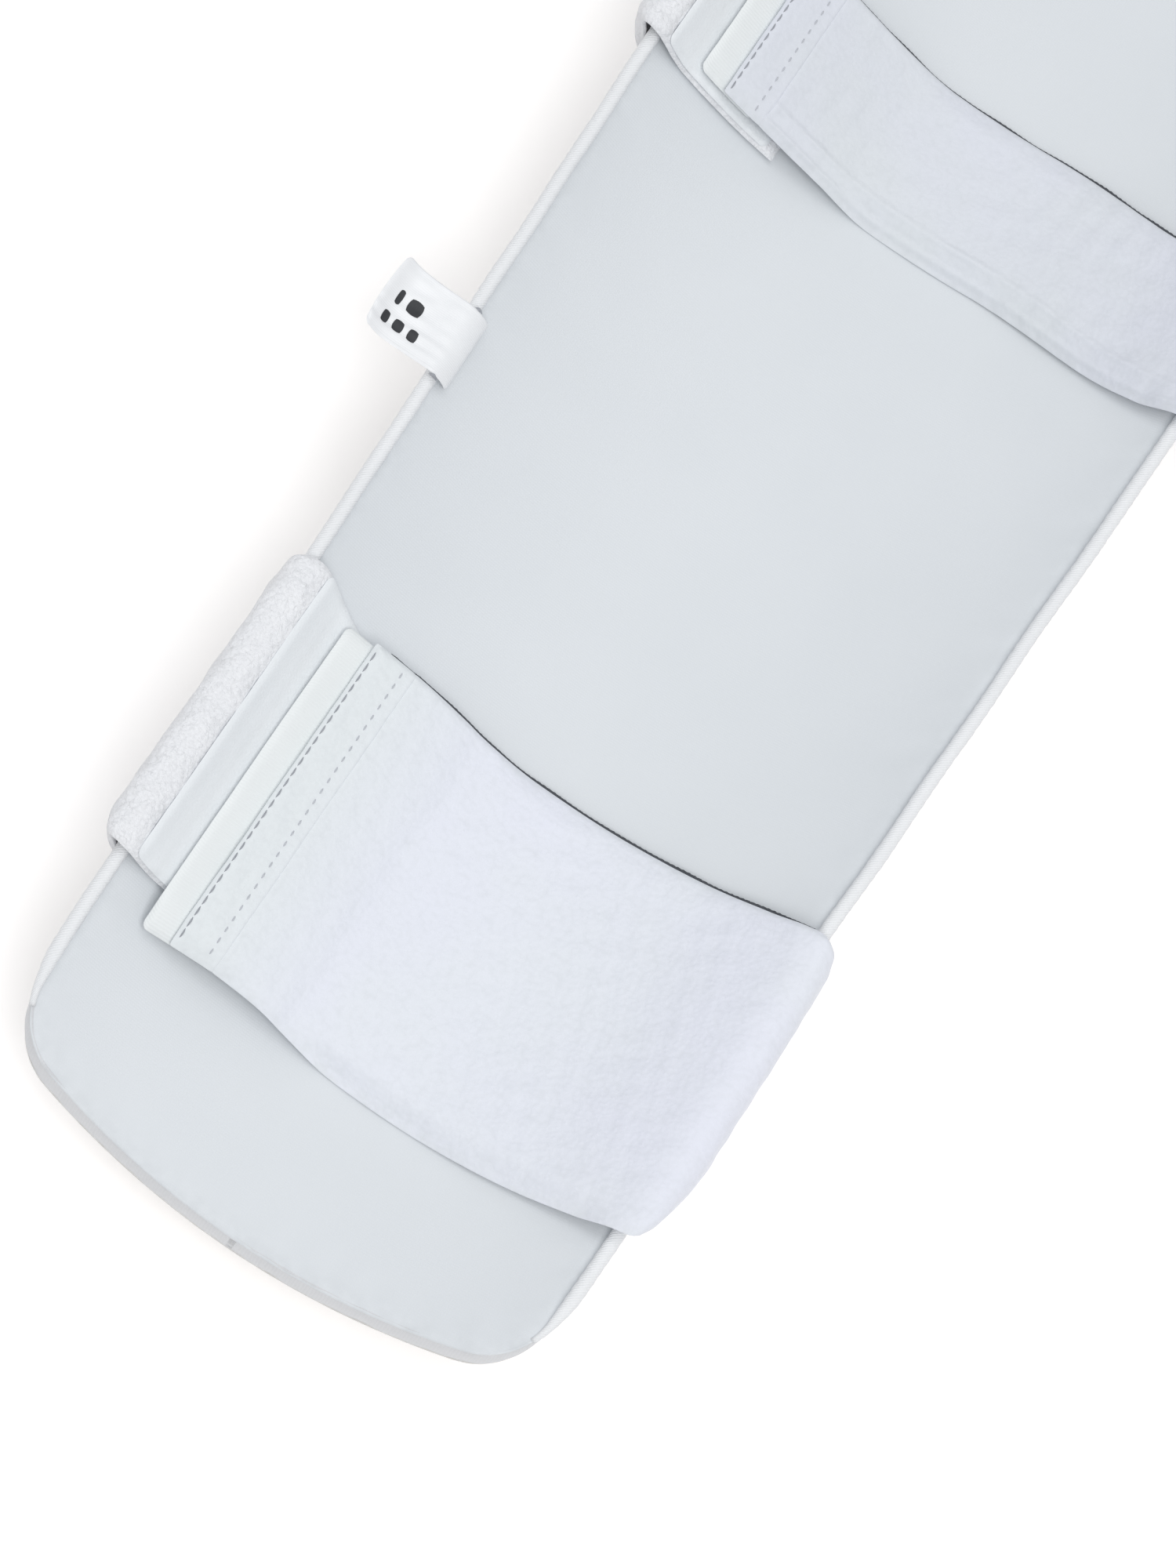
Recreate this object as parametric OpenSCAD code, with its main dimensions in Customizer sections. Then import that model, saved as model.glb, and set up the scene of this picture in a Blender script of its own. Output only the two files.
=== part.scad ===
// Cricket leg pad, slim shin and knee size, lying on its front with the leg side up.
// X runs across the leg, Y from the ankle edge to the knee edge, Z up out of the leg trough.
// The origin is the middle of the flat front of the centre bolster.

/* [Pad] */
// Length from the ankle edge to the knee edge
pad_length = 400; // [360:5:440]
// Straight width across the back at the ankle edge
ankle_width = 121; // [112:1:134]
// Straight width across the back at the knee edge
knee_width = 145; // [136:1:160]
// Radius of the curved back that faces the leg
leg_radius = 110; // [100:1:125]
// Radius of the two corners at the ankle edge
ankle_corner = 14; // [8:1:18]
// Radius of the two corners at the knee edge
knee_corner = 34; // [20:1:44]
// How far the ankle edge bows out at its middle
ankle_bow = 4.5; // [2:0.5:8]
// How far the knee edge bows out at its middle
knee_bow = 9; // [4:0.5:14]

/* [Layers] */
// Thickness of every sewn cover skin
skin = 1.2; // [0.8:0.1:1.6]
// Thickness of the soft foam next to the leg
comfort_thickness = 5.6; // [4:0.2:8]
// Thickness of the firm foam in front of it
core_thickness = 4; // [3.4:0.2:6]
// Thickness of the moulded shin plate
plate_thickness = 2; // [1.5:0.1:2.4]
// Distance of the shin plate's edge from the pad's edge
plate_margin = 14; // [10:1:20]
// Diameter of the piping cord on the two side seams
piping_diameter = 3; // [2:0.2:4]

/* [Front bolsters] */
// How far the bolsters stand out of the front
bolster_depth = 14; // [10:1:18]
// Widths of the centre, inner and outer upright bolsters
bolster_widths = [30, 18, 16];
// Gap between two neighbouring bolsters
bolster_gap = 1.5; // [1:0.1:3]
// Radius of the knee rolls
knee_roll_radius = 13.5; // [10:0.5:13.5]
// Radius of the instep roll at the ankle edge
instep_roll_radius = 8.5; // [6:0.5:10]
// Width of the cane strip inside each upright bolster
cane_width = 9; // [7:1:10]
// Thickness of the cane strips
cane_thickness = 2.4; // [2:0.1:3]

/* [Straps] */
// Width of the ankle strap
ankle_strap_width = 76; // [60:1:80]
// Middle of the ankle strap, measured from mid length
ankle_strap_y = -121.6; // [-130:0.2:-112]
// Width of the knee strap
knee_strap_width = 38; // [30:1:45]
// Middle of the knee strap, measured from mid length
knee_strap_y = 75.2; // [64:0.2:80]
// Thickness of both straps
strap_thickness = 2.6; // [2:0.1:3]
// Thickness of the landing wraps and the closing ends
wrap_thickness = 2.2; // [1.6:0.1:2.6]
// Thickness of the hook tape and of the loop tape
tape_thickness = 1.2; // [0.8:0.1:1.4]

/* [Label] */
// Width of the folded side label along the edge
label_width = 17; // [12:1:24]
// How far the label reaches out past the edge
label_reach = 18; // [12:1:24]
// Middle of the label, measured from mid length
label_y = -23; // [-40:1:0]

/* [Hidden] */
gap = 0.1;
strap_lift = 3;
groove_gap = 0.1;
bottom_y = -pad_length / 2;
top_y = pad_length / 2;
r_lining = leg_radius + skin;
r_comfort = r_lining + gap + comfort_thickness;
r_core = r_comfort + gap + core_thickness;
r_facing = r_core + gap + skin;
r_front = r_facing + gap;
axis_z = r_front + bolster_depth;
centre_width = bolster_widths[0];
inner_width = bolster_widths[1];
outer_width = bolster_widths[2];
inner_offset = centre_width / 2 + bolster_gap + inner_width / 2;
outer_offset = inner_offset + inner_width / 2 + bolster_gap + outer_width / 2;
instep_y = bottom_y + ankle_bow + instep_roll_radius + 5;
bolster_start = instep_y + instep_roll_radius + 3;
bolster_end = 46;
roll_pitch = 2 * knee_roll_radius + 2;
first_roll_y = bolster_end + 3 + knee_roll_radius;
panel_start = first_roll_y + 2 * roll_pitch + knee_roll_radius + 3;
panel_depth = 8;
panel_margin = 8;
round_fn = 96;
shell_fn = 180;

// ---- outline of the pad, seen from above ----

// Half of the width across the back at a distance y from mid length
function half_width(y) = (ankle_width + (knee_width - ankle_width) * (y - bottom_y) / pad_length) / 2;

side_slope = atan((knee_width - ankle_width) / 2 / pad_length);

// An arc of points about a centre, from one angle to another
function arc(centre, r, from, to, steps) =
    [for (i = [0:steps]) let (a = from + (to - from) * i / steps) centre + r * [cos(a), sin(a)]];

// A bowed end edge from the middle out to a corner's start
function bowed_edge(middle_y, corner_start, steps) =
    [for (i = [0:steps - 1]) let (t = i / steps)
        [t * corner_start[0], middle_y + t * t * (corner_start[1] - middle_y)]];

// Right half of the outline, moved inwards by inset
function right_half(inset) =
    let (
        ankle_slope = atan(2 * ankle_bow / (ankle_width / 2 - ankle_corner)),
        ankle_cy = bottom_y + ankle_bow + ankle_corner * cos(ankle_slope),
        ankle_centre = [half_width(ankle_cy) - ankle_corner, ankle_cy],
        knee_slope = atan(2 * knee_bow / (knee_width / 2 - knee_corner)),
        knee_cy = top_y - knee_bow - knee_corner * cos(knee_slope),
        knee_centre = [half_width(knee_cy) - knee_corner, knee_cy],
        ankle_arc = arc(ankle_centre, ankle_corner - inset, ankle_slope - 90, -side_slope, 6),
        knee_arc = arc(knee_centre, knee_corner - inset, -side_slope, 90 - knee_slope, 9),
        knee_edge = bowed_edge(top_y - inset, knee_arc[len(knee_arc) - 1], 7)
    )
    concat(
        bowed_edge(bottom_y + inset, ankle_arc[0], 5),
        ankle_arc,
        knee_arc,
        [for (i = [len(knee_edge) - 1:-1:0]) knee_edge[i]]
    );

function outline(inset) =
    let (half = right_half(inset), last = len(half) - 2)
    concat(half, [for (i = [last:-1:1]) [-half[i][0], half[i][1]]]);

// ---- paths across the leg, as [x, z] points ----

// The point at a distance r from the leg's axis and x to the right of it
function on_radius(r, x) = [x, axis_z - sqrt(r * r - x * x)];

// One point of a smooth curve through four neighbouring points
function smooth_point(a, b, c, d, t) =
    (2 * b + (c - a) * t + (2 * a - 5 * b + 4 * c - d) * t * t
        + (3 * b - a - 3 * c + d) * t * t * t) / 2;

// A smooth curve through all the given points
function smooth(points, steps = 6) =
    let (last = len(points) - 1)
    concat(
        [for (i = [0:last - 1], k = [0:steps - 1])
            smooth_point(points[max(i - 1, 0)], points[i], points[i + 1],
                points[min(i + 2, last)], k / steps)],
        [points[last]]
    );

// The left-hand normal of a path at one of its points
function path_normal(path, i) =
    let (
        a = path[max(i - 1, 0)],
        b = path[min(i + 1, len(path) - 1)],
        d = (b - a) / norm(b - a)
    )
    [-d[1], d[0]];

function shifted(path, distance) =
    [for (i = [0:len(path) - 1]) path[i] + distance * path_normal(path, i)];

function reversed(list) = [for (i = [len(list) - 1:-1:0]) list[i]];

// The part of a path between two of its points
function section(path, first, last) = [for (i = [first:last]) path[i]];

// A closed strip of even thickness about a path
function thickened(path, thickness) =
    concat(shifted(path, thickness / 2), reversed(shifted(path, -thickness / 2)));

// ---- straps: each runs from the front, round the right edge and over the back ----

path_steps = 6;
hinge_index = 5 * path_steps;
loop_start = 5 * path_steps + 2;

// Middle of a strap, from its sewn end on the front to the point where its closing end starts
function strap_path(w) =
    let (
        edge_low = on_radius(r_facing, w)[1],
        edge_high = on_radius(leg_radius, w)[1],
        front = r_front + 0.2 + strap_thickness / 2
    )
    smooth([
        on_radius(front, w - 9),
        on_radius(front + 1, w - 1.5),
        [w + 6, edge_low + 3],
        [w + 7.4, (edge_low + edge_high) / 2 + 1],
        [w + 5.6, edge_high + 3.6],
        [w + 0.5, edge_high + 5.4],
        on_radius(leg_radius - 4.8, w - 9),
        on_radius(leg_radius - strap_lift - 0.6, w - 24),
        on_radius(leg_radius - strap_lift, 0.3 * w),
        on_radius(leg_radius - strap_lift, 0),
        on_radius(leg_radius - strap_lift, -0.22 * w),
        on_radius(leg_radius - strap_lift - 1.8, -(w - 42)),
        on_radius(leg_radius - tab_height, -(w - tab_start - 0.4))
    ], path_steps);

// The landing wrap comes round the left edge and lies on the lining
function landing_path(w) =
    let (
        edge_low = on_radius(r_facing, w)[1],
        edge_high = on_radius(leg_radius, w)[1],
        front = r_front + 0.2 + wrap_thickness / 2,
        low = leg_radius - 0.3 - wrap_thickness / 2
    )
    smooth([
        on_radius(front, -(w - 9)),
        on_radius(front + 1, -(w - 1.5)),
        [-(w + 4.6), edge_low + 3],
        [-(w + 5.8), (edge_low + edge_high) / 2 + 1],
        [-(w + 4.8), edge_high + 3.3],
        [-(w - 0.6), edge_high + 4.3],
        on_radius(low - 0.7, -(w - 6)),
        on_radius(low, -(w - 10.5)),
        on_radius(low, -(w - 24)),
        on_radius(low, -(w - 35))
    ], path_steps);

// The closing end starts this far in from the left edge
tab_start = 28;

// Gaps between two sewn pieces and between the two halves of the closure
sewn_gap = 0.2;
closing_gap = 0.4;

// Heights above the lining of the closing stack's middles
wrap_top = 0.3 + wrap_thickness;
loop_height = wrap_top + sewn_gap + tape_thickness / 2;
hook_height = loop_height + closing_gap + tape_thickness;
tab_height = hook_height + (tape_thickness + wrap_thickness) / 2 + 0.1;

// A run over the lining at one height, between two sideways positions
function lining_run(height, from, to, steps = 10) =
    [for (i = [0:steps]) on_radius(leg_radius - height, from + (to - from) * i / steps)];

// ---- shared shapes ----

module across_leg(y_middle, width) {
    translate([0, y_middle + width / 2, 0])
        rotate([90, 0, 0])
            linear_extrude(height = width)
                children();
}

module leg_cylinder(r) {
    translate([0, 0, axis_z])
        rotate([90, 0, 0])
            cylinder(r = r, h = pad_length + 60, center = true, $fn = shell_fn);
}

module plan_block(inset) {
    linear_extrude(height = axis_z - leg_radius / 2)
        polygon(outline(inset));
}

// A curved layer of the pad between two radii
module curved_layer(r_in, r_out, inset) {
    intersection() {
        plan_block(inset);
        difference() {
            leg_cylinder(r_out);
            leg_cylinder(r_in);
        }
    }
}

// A round rod with ball ends, turned in one piece
module round_rod(a, b, r) {
    d = b - a;
    h = norm(d);
    translate(a)
        rotate([0, acos(d[2] / h), atan2(d[1], d[0])])
            rotate_extrude($fn = round_fn)
                intersection() {
                    translate([0, -r])
                        square([r, h + 2 * r]);
                    union() {
                        translate([-r, 0])
                            square([2 * r, h]);
                        circle(r = r, $fn = round_fn);
                        translate([0, h])
                            circle(r = r, $fn = round_fn);
                    }
                }
}

// Centre of the piping at a distance y from mid length, side is 1 or -1
function piping_point(side, y) =
    let (w = half_width(y))
    [side * (w + 0.4), y, on_radius(leg_radius, w)[1] + 0.9];

module side_piping(side, r) {
    round_rod(
        piping_point(side, bottom_y + ankle_corner + 8),
        piping_point(side, top_y - knee_corner - 8),
        r
    );
}

module piping_grooves() {
    side_piping(1, piping_diameter / 2 + groove_gap);
    side_piping(-1, piping_diameter / 2 + groove_gap);
}

// A flat front face at the bottom with both its corners rounded
module rounded_front(width, height, corner) {
    translate([-width / 2, corner])
        square([width, height - corner]);
    translate([-width / 2 + corner, 0])
        square([width - 2 * corner, height - corner]);
    for (side = [-1, 1])
        translate([side * (width / 2 - corner), corner])
            circle(r = corner, $fn = round_fn);
}

// Turns a piece from the middle of the front to a distance round the front
module round_front(offset) {
    translate([0, 0, axis_z])
        rotate([0, -offset / r_front * 180 / PI, 0])
            translate([0, 0, -axis_z])
                children();
}

bolster_length = bolster_end - bolster_start;
bolster_y = (bolster_end + bolster_start) / 2;
bolster_corner = 5;
bolster_end_corner = 9;

// The full shape of an upright bolster, made smaller by inset on its front and sides
module bolster_block(width, inset) {
    w = width - 2 * inset;
    l = bolster_length - 2 * inset;
    h = bolster_depth + 5;
    translate([0, 0, inset])
        intersection() {
            across_leg(bolster_y, l)
                rounded_front(w, h, bolster_corner - inset);
            translate([-w / 2, bolster_y, 0])
                rotate([90, 0, 90])
                    linear_extrude(height = w)
                        rounded_front(l, h, bolster_end_corner - inset);
        }
}

module bolster_cover(offset, width) {
    difference() {
        round_front(offset)
            bolster_block(width, 0);
        round_front(offset)
            bolster_block(width, skin);
        leg_cylinder(r_front);
    }
}

module bolster_foam(offset, width) {
    difference() {
        round_front(offset)
            bolster_block(width, skin + gap);
        leg_cylinder(r_front + gap);
        cane_strip(offset, gap);
        round_front(offset)
            translate([-cane_width / 2 - gap, cane_start - gap, cane_z])
                cube([cane_width + 2 * gap, cane_length + 2 * gap, cane_thickness + 2]);
    }
}

cane_length = bolster_length - 30;
cane_start = bolster_y - cane_length / 2;
cane_z = bolster_depth - 0.5 - cane_thickness / 2;

// A split cane: a flat strip with rounded long edges
module cane_strip(offset, grow) {
    t = cane_thickness + 2 * grow;
    w = cane_width + 2 * grow;
    round_front(offset)
        translate([0, 0, cane_z])
            across_leg(bolster_y, cane_length + 2 * grow) {
                square([w - t, t], center = true);
                for (side = [-1, 1])
                    translate([side * (w - t) / 2, 0])
                        circle(r = t / 2, $fn = round_fn);
            }
}

// A flat rectangle about the origin with four rounded corners
module rounded_plan(width, length, corner) {
    square([width - 2 * corner, length], center = true);
    square([width, length - 2 * corner], center = true);
    for (sx = [-1, 1], sy = [-1, 1])
        translate([sx * (width / 2 - corner), sy * (length / 2 - corner)])
            circle(r = corner, $fn = round_fn);
}

roll_corner = 8;

// A roll that bends round the front and stops short of the side edges
module front_roll(y, r, margin, inset) {
    width = 2 * (half_width(y) - margin - inset);
    intersection() {
        translate([0, y, axis_z])
            rotate([90, 0, 0])
                rotate([0, 0, -150])
                    rotate_extrude(angle = 120, $fn = shell_fn)
                        translate([r_front, 0])
                            circle(r = r - inset, $fn = round_fn);
        translate([0, y, -1])
            linear_extrude(height = axis_z)
                rounded_plan(width, 2 * (r - inset) + 2, min(roll_corner, r) - inset);
    }
}

roll_margin = 12;
instep_margin = 16;

module roll_cover(y, r, margin) {
    difference() {
        front_roll(y, r, margin, 0);
        front_roll(y, r, margin, skin);
        leg_cylinder(r_front);
    }
}

module roll_foam(y, r, margin) {
    difference() {
        front_roll(y, r, margin, skin + gap);
        leg_cylinder(r_front + gap);
    }
}

// The padded panel above the knee rolls, made smaller by inset
module panel_block(inset) {
    intersection() {
        curved_layer(r_front - 1, r_front + panel_depth - inset, panel_margin + inset);
        translate([-knee_width, panel_start + inset, 0])
            cube([2 * knee_width, pad_length, 2 * axis_z]);
    }
}

// ---- layers of the pad ----

module back_lining() {
    color([0.88, 0.89, 0.90])
        difference() {
            curved_layer(leg_radius, r_lining, 0);
            piping_grooves();
        }
}

module comfort_foam() {
    color([0.93, 0.92, 0.86])
        difference() {
            curved_layer(r_lining + gap, r_comfort, skin + gap);
            piping_grooves();
        }
}

module core_foam() {
    color([0.80, 0.84, 0.88])
        difference() {
            curved_layer(r_comfort + gap, r_core, skin + gap);
            curved_layer(r_core - plate_thickness - 2 * gap, r_core + 1, plate_margin - gap);
        }
}

module shin_plate() {
    color([0.20, 0.22, 0.25])
        curved_layer(r_core - plate_thickness - gap, r_core - gap, plate_margin);
}

module front_facing() {
    color([0.95, 0.95, 0.94])
        curved_layer(r_core + gap, r_facing, 0);
}

module edge_gusset() {
    color([0.93, 0.93, 0.94])
        difference() {
            curved_layer(r_lining + gap, r_core, 0);
            plan_block(skin);
            piping_grooves();
        }
}

module left_piping() {
    color([0.96, 0.96, 0.97])
        side_piping(-1, piping_diameter / 2);
}

module right_piping() {
    color([0.96, 0.96, 0.97])
        side_piping(1, piping_diameter / 2);
}

// ---- upright bolsters ----

module centre_bolster_cover() {
    color([0.96, 0.96, 0.95])
        bolster_cover(0, centre_width);
}

module inner_left_bolster_cover() {
    color([0.96, 0.96, 0.95])
        bolster_cover(-inner_offset, inner_width);
}

module inner_right_bolster_cover() {
    color([0.96, 0.96, 0.95])
        bolster_cover(inner_offset, inner_width);
}

module outer_left_bolster_cover() {
    color([0.96, 0.96, 0.95])
        bolster_cover(-outer_offset, outer_width);
}

module outer_right_bolster_cover() {
    color([0.96, 0.96, 0.95])
        bolster_cover(outer_offset, outer_width);
}

module centre_bolster_foam() {
    color([0.93, 0.92, 0.86])
        bolster_foam(0, centre_width);
}

module inner_left_bolster_foam() {
    color([0.93, 0.92, 0.86])
        bolster_foam(-inner_offset, inner_width);
}

module inner_right_bolster_foam() {
    color([0.93, 0.92, 0.86])
        bolster_foam(inner_offset, inner_width);
}

module outer_left_bolster_foam() {
    color([0.93, 0.92, 0.86])
        bolster_foam(-outer_offset, outer_width);
}

module outer_right_bolster_foam() {
    color([0.93, 0.92, 0.86])
        bolster_foam(outer_offset, outer_width);
}

module centre_cane() {
    color([0.80, 0.66, 0.42])
        cane_strip(0, 0);
}

module inner_left_cane() {
    color([0.80, 0.66, 0.42])
        cane_strip(-inner_offset, 0);
}

module inner_right_cane() {
    color([0.80, 0.66, 0.42])
        cane_strip(inner_offset, 0);
}

module outer_left_cane() {
    color([0.80, 0.66, 0.42])
        cane_strip(-outer_offset, 0);
}

module outer_right_cane() {
    color([0.80, 0.66, 0.42])
        cane_strip(outer_offset, 0);
}

// ---- knee rolls, top panel and instep roll ----

module lower_knee_roll_cover() {
    color([0.96, 0.96, 0.95])
        roll_cover(first_roll_y, knee_roll_radius, roll_margin);
}

module middle_knee_roll_cover() {
    color([0.96, 0.96, 0.95])
        roll_cover(first_roll_y + roll_pitch, knee_roll_radius, roll_margin);
}

module upper_knee_roll_cover() {
    color([0.96, 0.96, 0.95])
        roll_cover(first_roll_y + 2 * roll_pitch, knee_roll_radius, roll_margin);
}

module lower_knee_roll_foam() {
    color([0.93, 0.92, 0.86])
        roll_foam(first_roll_y, knee_roll_radius, roll_margin);
}

module middle_knee_roll_foam() {
    color([0.93, 0.92, 0.86])
        roll_foam(first_roll_y + roll_pitch, knee_roll_radius, roll_margin);
}

module upper_knee_roll_foam() {
    color([0.93, 0.92, 0.86])
        roll_foam(first_roll_y + 2 * roll_pitch, knee_roll_radius, roll_margin);
}

module top_panel_cover() {
    color([0.96, 0.96, 0.95])
        difference() {
            panel_block(0);
            panel_block(skin);
            leg_cylinder(r_front);
        }
}

module top_panel_foam() {
    color([0.93, 0.92, 0.86])
        difference() {
            panel_block(skin + gap);
            leg_cylinder(r_front + gap);
        }
}

module instep_roll_cover() {
    color([0.96, 0.96, 0.95])
        roll_cover(instep_y, instep_roll_radius, instep_margin);
}

module instep_roll_foam() {
    color([0.93, 0.92, 0.86])
        roll_foam(instep_y, instep_roll_radius, instep_margin);
}

// ---- strap pieces shared by both straps ----

module strap_anchor(y, width) {
    path = strap_path(half_width(y));
    across_leg(y, width)
        polygon(thickened(section(path, 0, hinge_index), strap_thickness));
}

// The band starts just past the hinge line over the right edge
module strap_band(y, width) {
    path = strap_path(half_width(y));
    across_leg(y, width)
        polygon(thickened(section(path, hinge_index + 1, len(path) - 1), strap_thickness));
}

module strap_tab(y, width) {
    w = half_width(y);
    across_leg(y, width)
        polygon(thickened(lining_run(tab_height, -(w - tab_start + 0.4), -(w - 18.8), 4), wrap_thickness));
}

module hook_tape(y, width) {
    w = half_width(y);
    across_leg(y, width - 1)
        polygon(thickened(lining_run(hook_height, -(w - tab_start + 0.4), -(w - 12), 6), tape_thickness));
}

module landing_wrap(y, width) {
    across_leg(y, width)
        polygon(thickened(landing_path(half_width(y)), wrap_thickness));
}

// The loop tape follows the landing wrap from the edge of the lining inwards
module loop_tape(y, width) {
    path = landing_path(half_width(y));
    middle = shifted(path, (wrap_thickness + tape_thickness) / 2 + sewn_gap);
    across_leg(y, width - 1)
        polygon(thickened(section(middle, loop_start, len(path) - 3), tape_thickness));
}

// ---- ankle strap ----

landing_shift = 5.8;
ankle_landing_width = ankle_strap_width - 3.5;
knee_landing_width = knee_strap_width - 3;

module ankle_strap_anchor() {
    color([0.92, 0.92, 0.95])
        strap_anchor(ankle_strap_y, ankle_strap_width);
}

module ankle_strap_band() {
    color([0.90, 0.90, 0.94])
        strap_band(ankle_strap_y, ankle_strap_width);
}

module ankle_strap_tab() {
    color([0.92, 0.92, 0.95])
        strap_tab(ankle_strap_y, ankle_strap_width);
}

module ankle_hook_tape() {
    color([0.97, 0.97, 0.97])
        hook_tape(ankle_strap_y, ankle_strap_width);
}

module ankle_landing_wrap() {
    color([0.95, 0.95, 0.95])
        landing_wrap(ankle_strap_y + landing_shift, ankle_landing_width);
}

module ankle_loop_tape() {
    color([0.80, 0.81, 0.83])
        loop_tape(ankle_strap_y + landing_shift, ankle_landing_width);
}

// ---- knee strap ----

module knee_strap_anchor() {
    color([0.92, 0.92, 0.95])
        strap_anchor(knee_strap_y, knee_strap_width);
}

module knee_strap_band() {
    color([0.90, 0.90, 0.94])
        strap_band(knee_strap_y, knee_strap_width);
}

module knee_strap_tab() {
    color([0.92, 0.92, 0.95])
        strap_tab(knee_strap_y, knee_strap_width);
}

module knee_hook_tape() {
    color([0.97, 0.97, 0.97])
        hook_tape(knee_strap_y, knee_strap_width);
}

module knee_landing_wrap() {
    color([0.95, 0.95, 0.95])
        landing_wrap(knee_strap_y, knee_landing_width);
}

module knee_loop_tape() {
    color([0.80, 0.81, 0.83])
        loop_tape(knee_strap_y, knee_landing_width);
}

// ---- side label ----

// The folded label comes out of the seam beside the lining, goes over the piping and curls up
label_thickness = 0.9;
label_hinge_index = 2 * path_steps + 3;

function label_path(w) =
    let (edge = on_radius(leg_radius, w)[1])
    smooth([
        [-(w - 1.6), edge - 0.5],
        [-(w - 1.9), edge + 1.5],
        [-(w - 0.7), edge + 3.2],
        [-(w + 2), edge + 3.9],
        [-(w + label_reach * 0.45), edge + 3.4],
        [-(w + label_reach * 0.78), edge + 4.2],
        [-(w + label_reach), edge + 6.8]
    ], path_steps);

module label_piece(first, last) {
    color([0.97, 0.97, 0.97])
        across_leg(label_y, label_width)
            polygon(thickened(section(label_path(half_width(label_y)), first, last), label_thickness));
}

// The sewn part, as far as the top of the piping
module side_label_root() {
    label_piece(0, label_hinge_index - 1);
}

// The free part, which flexes about the top of the piping
module side_label() {
    label_piece(label_hinge_index + 1, 6 * path_steps);
}

back_lining();
comfort_foam();
core_foam();
shin_plate();
front_facing();
edge_gusset();
left_piping();
right_piping();
centre_bolster_cover();
inner_left_bolster_cover();
inner_right_bolster_cover();
outer_left_bolster_cover();
outer_right_bolster_cover();
centre_bolster_foam();
inner_left_bolster_foam();
inner_right_bolster_foam();
outer_left_bolster_foam();
outer_right_bolster_foam();
centre_cane();
inner_left_cane();
inner_right_cane();
outer_left_cane();
outer_right_cane();
lower_knee_roll_cover();
middle_knee_roll_cover();
upper_knee_roll_cover();
lower_knee_roll_foam();
middle_knee_roll_foam();
upper_knee_roll_foam();
top_panel_cover();
top_panel_foam();
instep_roll_cover();
instep_roll_foam();
ankle_strap_anchor();
ankle_strap_band();
ankle_strap_tab();
ankle_hook_tape();
ankle_landing_wrap();
ankle_loop_tape();
knee_strap_anchor();
knee_strap_band();
knee_strap_tab();
knee_hook_tape();
knee_landing_wrap();
knee_loop_tape();
side_label_root();
side_label();
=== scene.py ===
"""Looks of a slim cricket leg pad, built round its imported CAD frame.

Lengths in this file are millimetres; make_mesh() turns them into the frame's metres.
X runs across the leg, Y from the ankle edge to the knee edge, Z up out of the leg trough.
"""

import math
import random

import bmesh
import bpy
import numpy as np
from mathutils import Matrix, Vector


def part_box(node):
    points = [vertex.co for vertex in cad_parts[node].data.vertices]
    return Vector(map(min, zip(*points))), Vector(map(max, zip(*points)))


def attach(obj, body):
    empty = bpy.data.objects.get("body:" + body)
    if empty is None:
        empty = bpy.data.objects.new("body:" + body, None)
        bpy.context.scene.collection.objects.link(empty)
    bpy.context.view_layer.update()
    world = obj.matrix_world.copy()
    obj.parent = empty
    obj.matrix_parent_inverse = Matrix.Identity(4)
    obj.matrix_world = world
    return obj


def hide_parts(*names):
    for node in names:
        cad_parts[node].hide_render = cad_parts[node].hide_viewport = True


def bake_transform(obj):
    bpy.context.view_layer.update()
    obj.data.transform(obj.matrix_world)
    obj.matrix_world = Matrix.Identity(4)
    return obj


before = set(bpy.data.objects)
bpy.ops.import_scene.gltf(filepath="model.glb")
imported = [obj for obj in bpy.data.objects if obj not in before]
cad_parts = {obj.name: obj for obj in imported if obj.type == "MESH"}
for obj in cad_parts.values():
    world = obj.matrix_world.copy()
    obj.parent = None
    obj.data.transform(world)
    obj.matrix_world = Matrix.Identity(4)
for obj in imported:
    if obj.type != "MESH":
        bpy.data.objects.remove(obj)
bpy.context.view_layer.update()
MM = 0.001


# ---- sizes taken from the frame, and the pad's driving dimensions ----

def box_mm(node):
    return [np.array(corner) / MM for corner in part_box(node)]


def middle_y(node):
    low, high = box_mm(node)
    return (low[1] + high[1]) / 2


def width_y(node):
    low, high = box_mm(node)
    return high[1] - low[1]


LINING_LOW, LINING_HIGH = box_mm("back_lining")
BOTTOM_Y = LINING_LOW[1]
TOP_Y = LINING_HIGH[1]
LENGTH = TOP_Y - BOTTOM_Y
ANKLE_WIDTH = 121
KNEE_WIDTH = 145
ANKLE_CORNER = 14
KNEE_CORNER = 34
ANKLE_BOW = 4.5
KNEE_BOW = 9
ANKLE_STEPS = 20
KNEE_STEPS = 30
SKIN = 1.2
LEG_RADIUS = 110
AXIS_Z = LINING_LOW[2] + LEG_RADIUS + SKIN
R_FACING = AXIS_Z - box_mm("front_facing")[0][2]
R_FRONT = R_FACING + 0.1
R_CORE = R_FACING - SKIN - 0.1
R_COMFORT = AXIS_Z - box_mm("comfort_foam")[0][2]
STRAP_THICKNESS = 2.6
WRAP_THICKNESS = 2.2
TAPE_THICKNESS = 1.2
HINGE_STEP = 5
CURVE_STEPS = 14


# ---- small mathematics ----

def ripples(u, v, wavelength, seed, count=7):
    """A smooth random height, mostly from -1 to 1, with features about a wavelength long."""
    rng = random.Random(seed)
    total = 0
    for _ in range(count):
        turn = rng.uniform(0, math.tau)
        length = wavelength * rng.uniform(0.7, 1.5)
        phase = rng.uniform(0, math.tau)
        total = total + np.sin((u * math.cos(turn) + v * math.sin(turn)) * math.tau / length + phase)
    return total / math.sqrt(count)


def ease(t):
    """0 below 0, 1 above 1 and smooth in between."""
    t = np.clip(t, 0, 1)
    return t * t * (3 - 2 * t)


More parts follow.
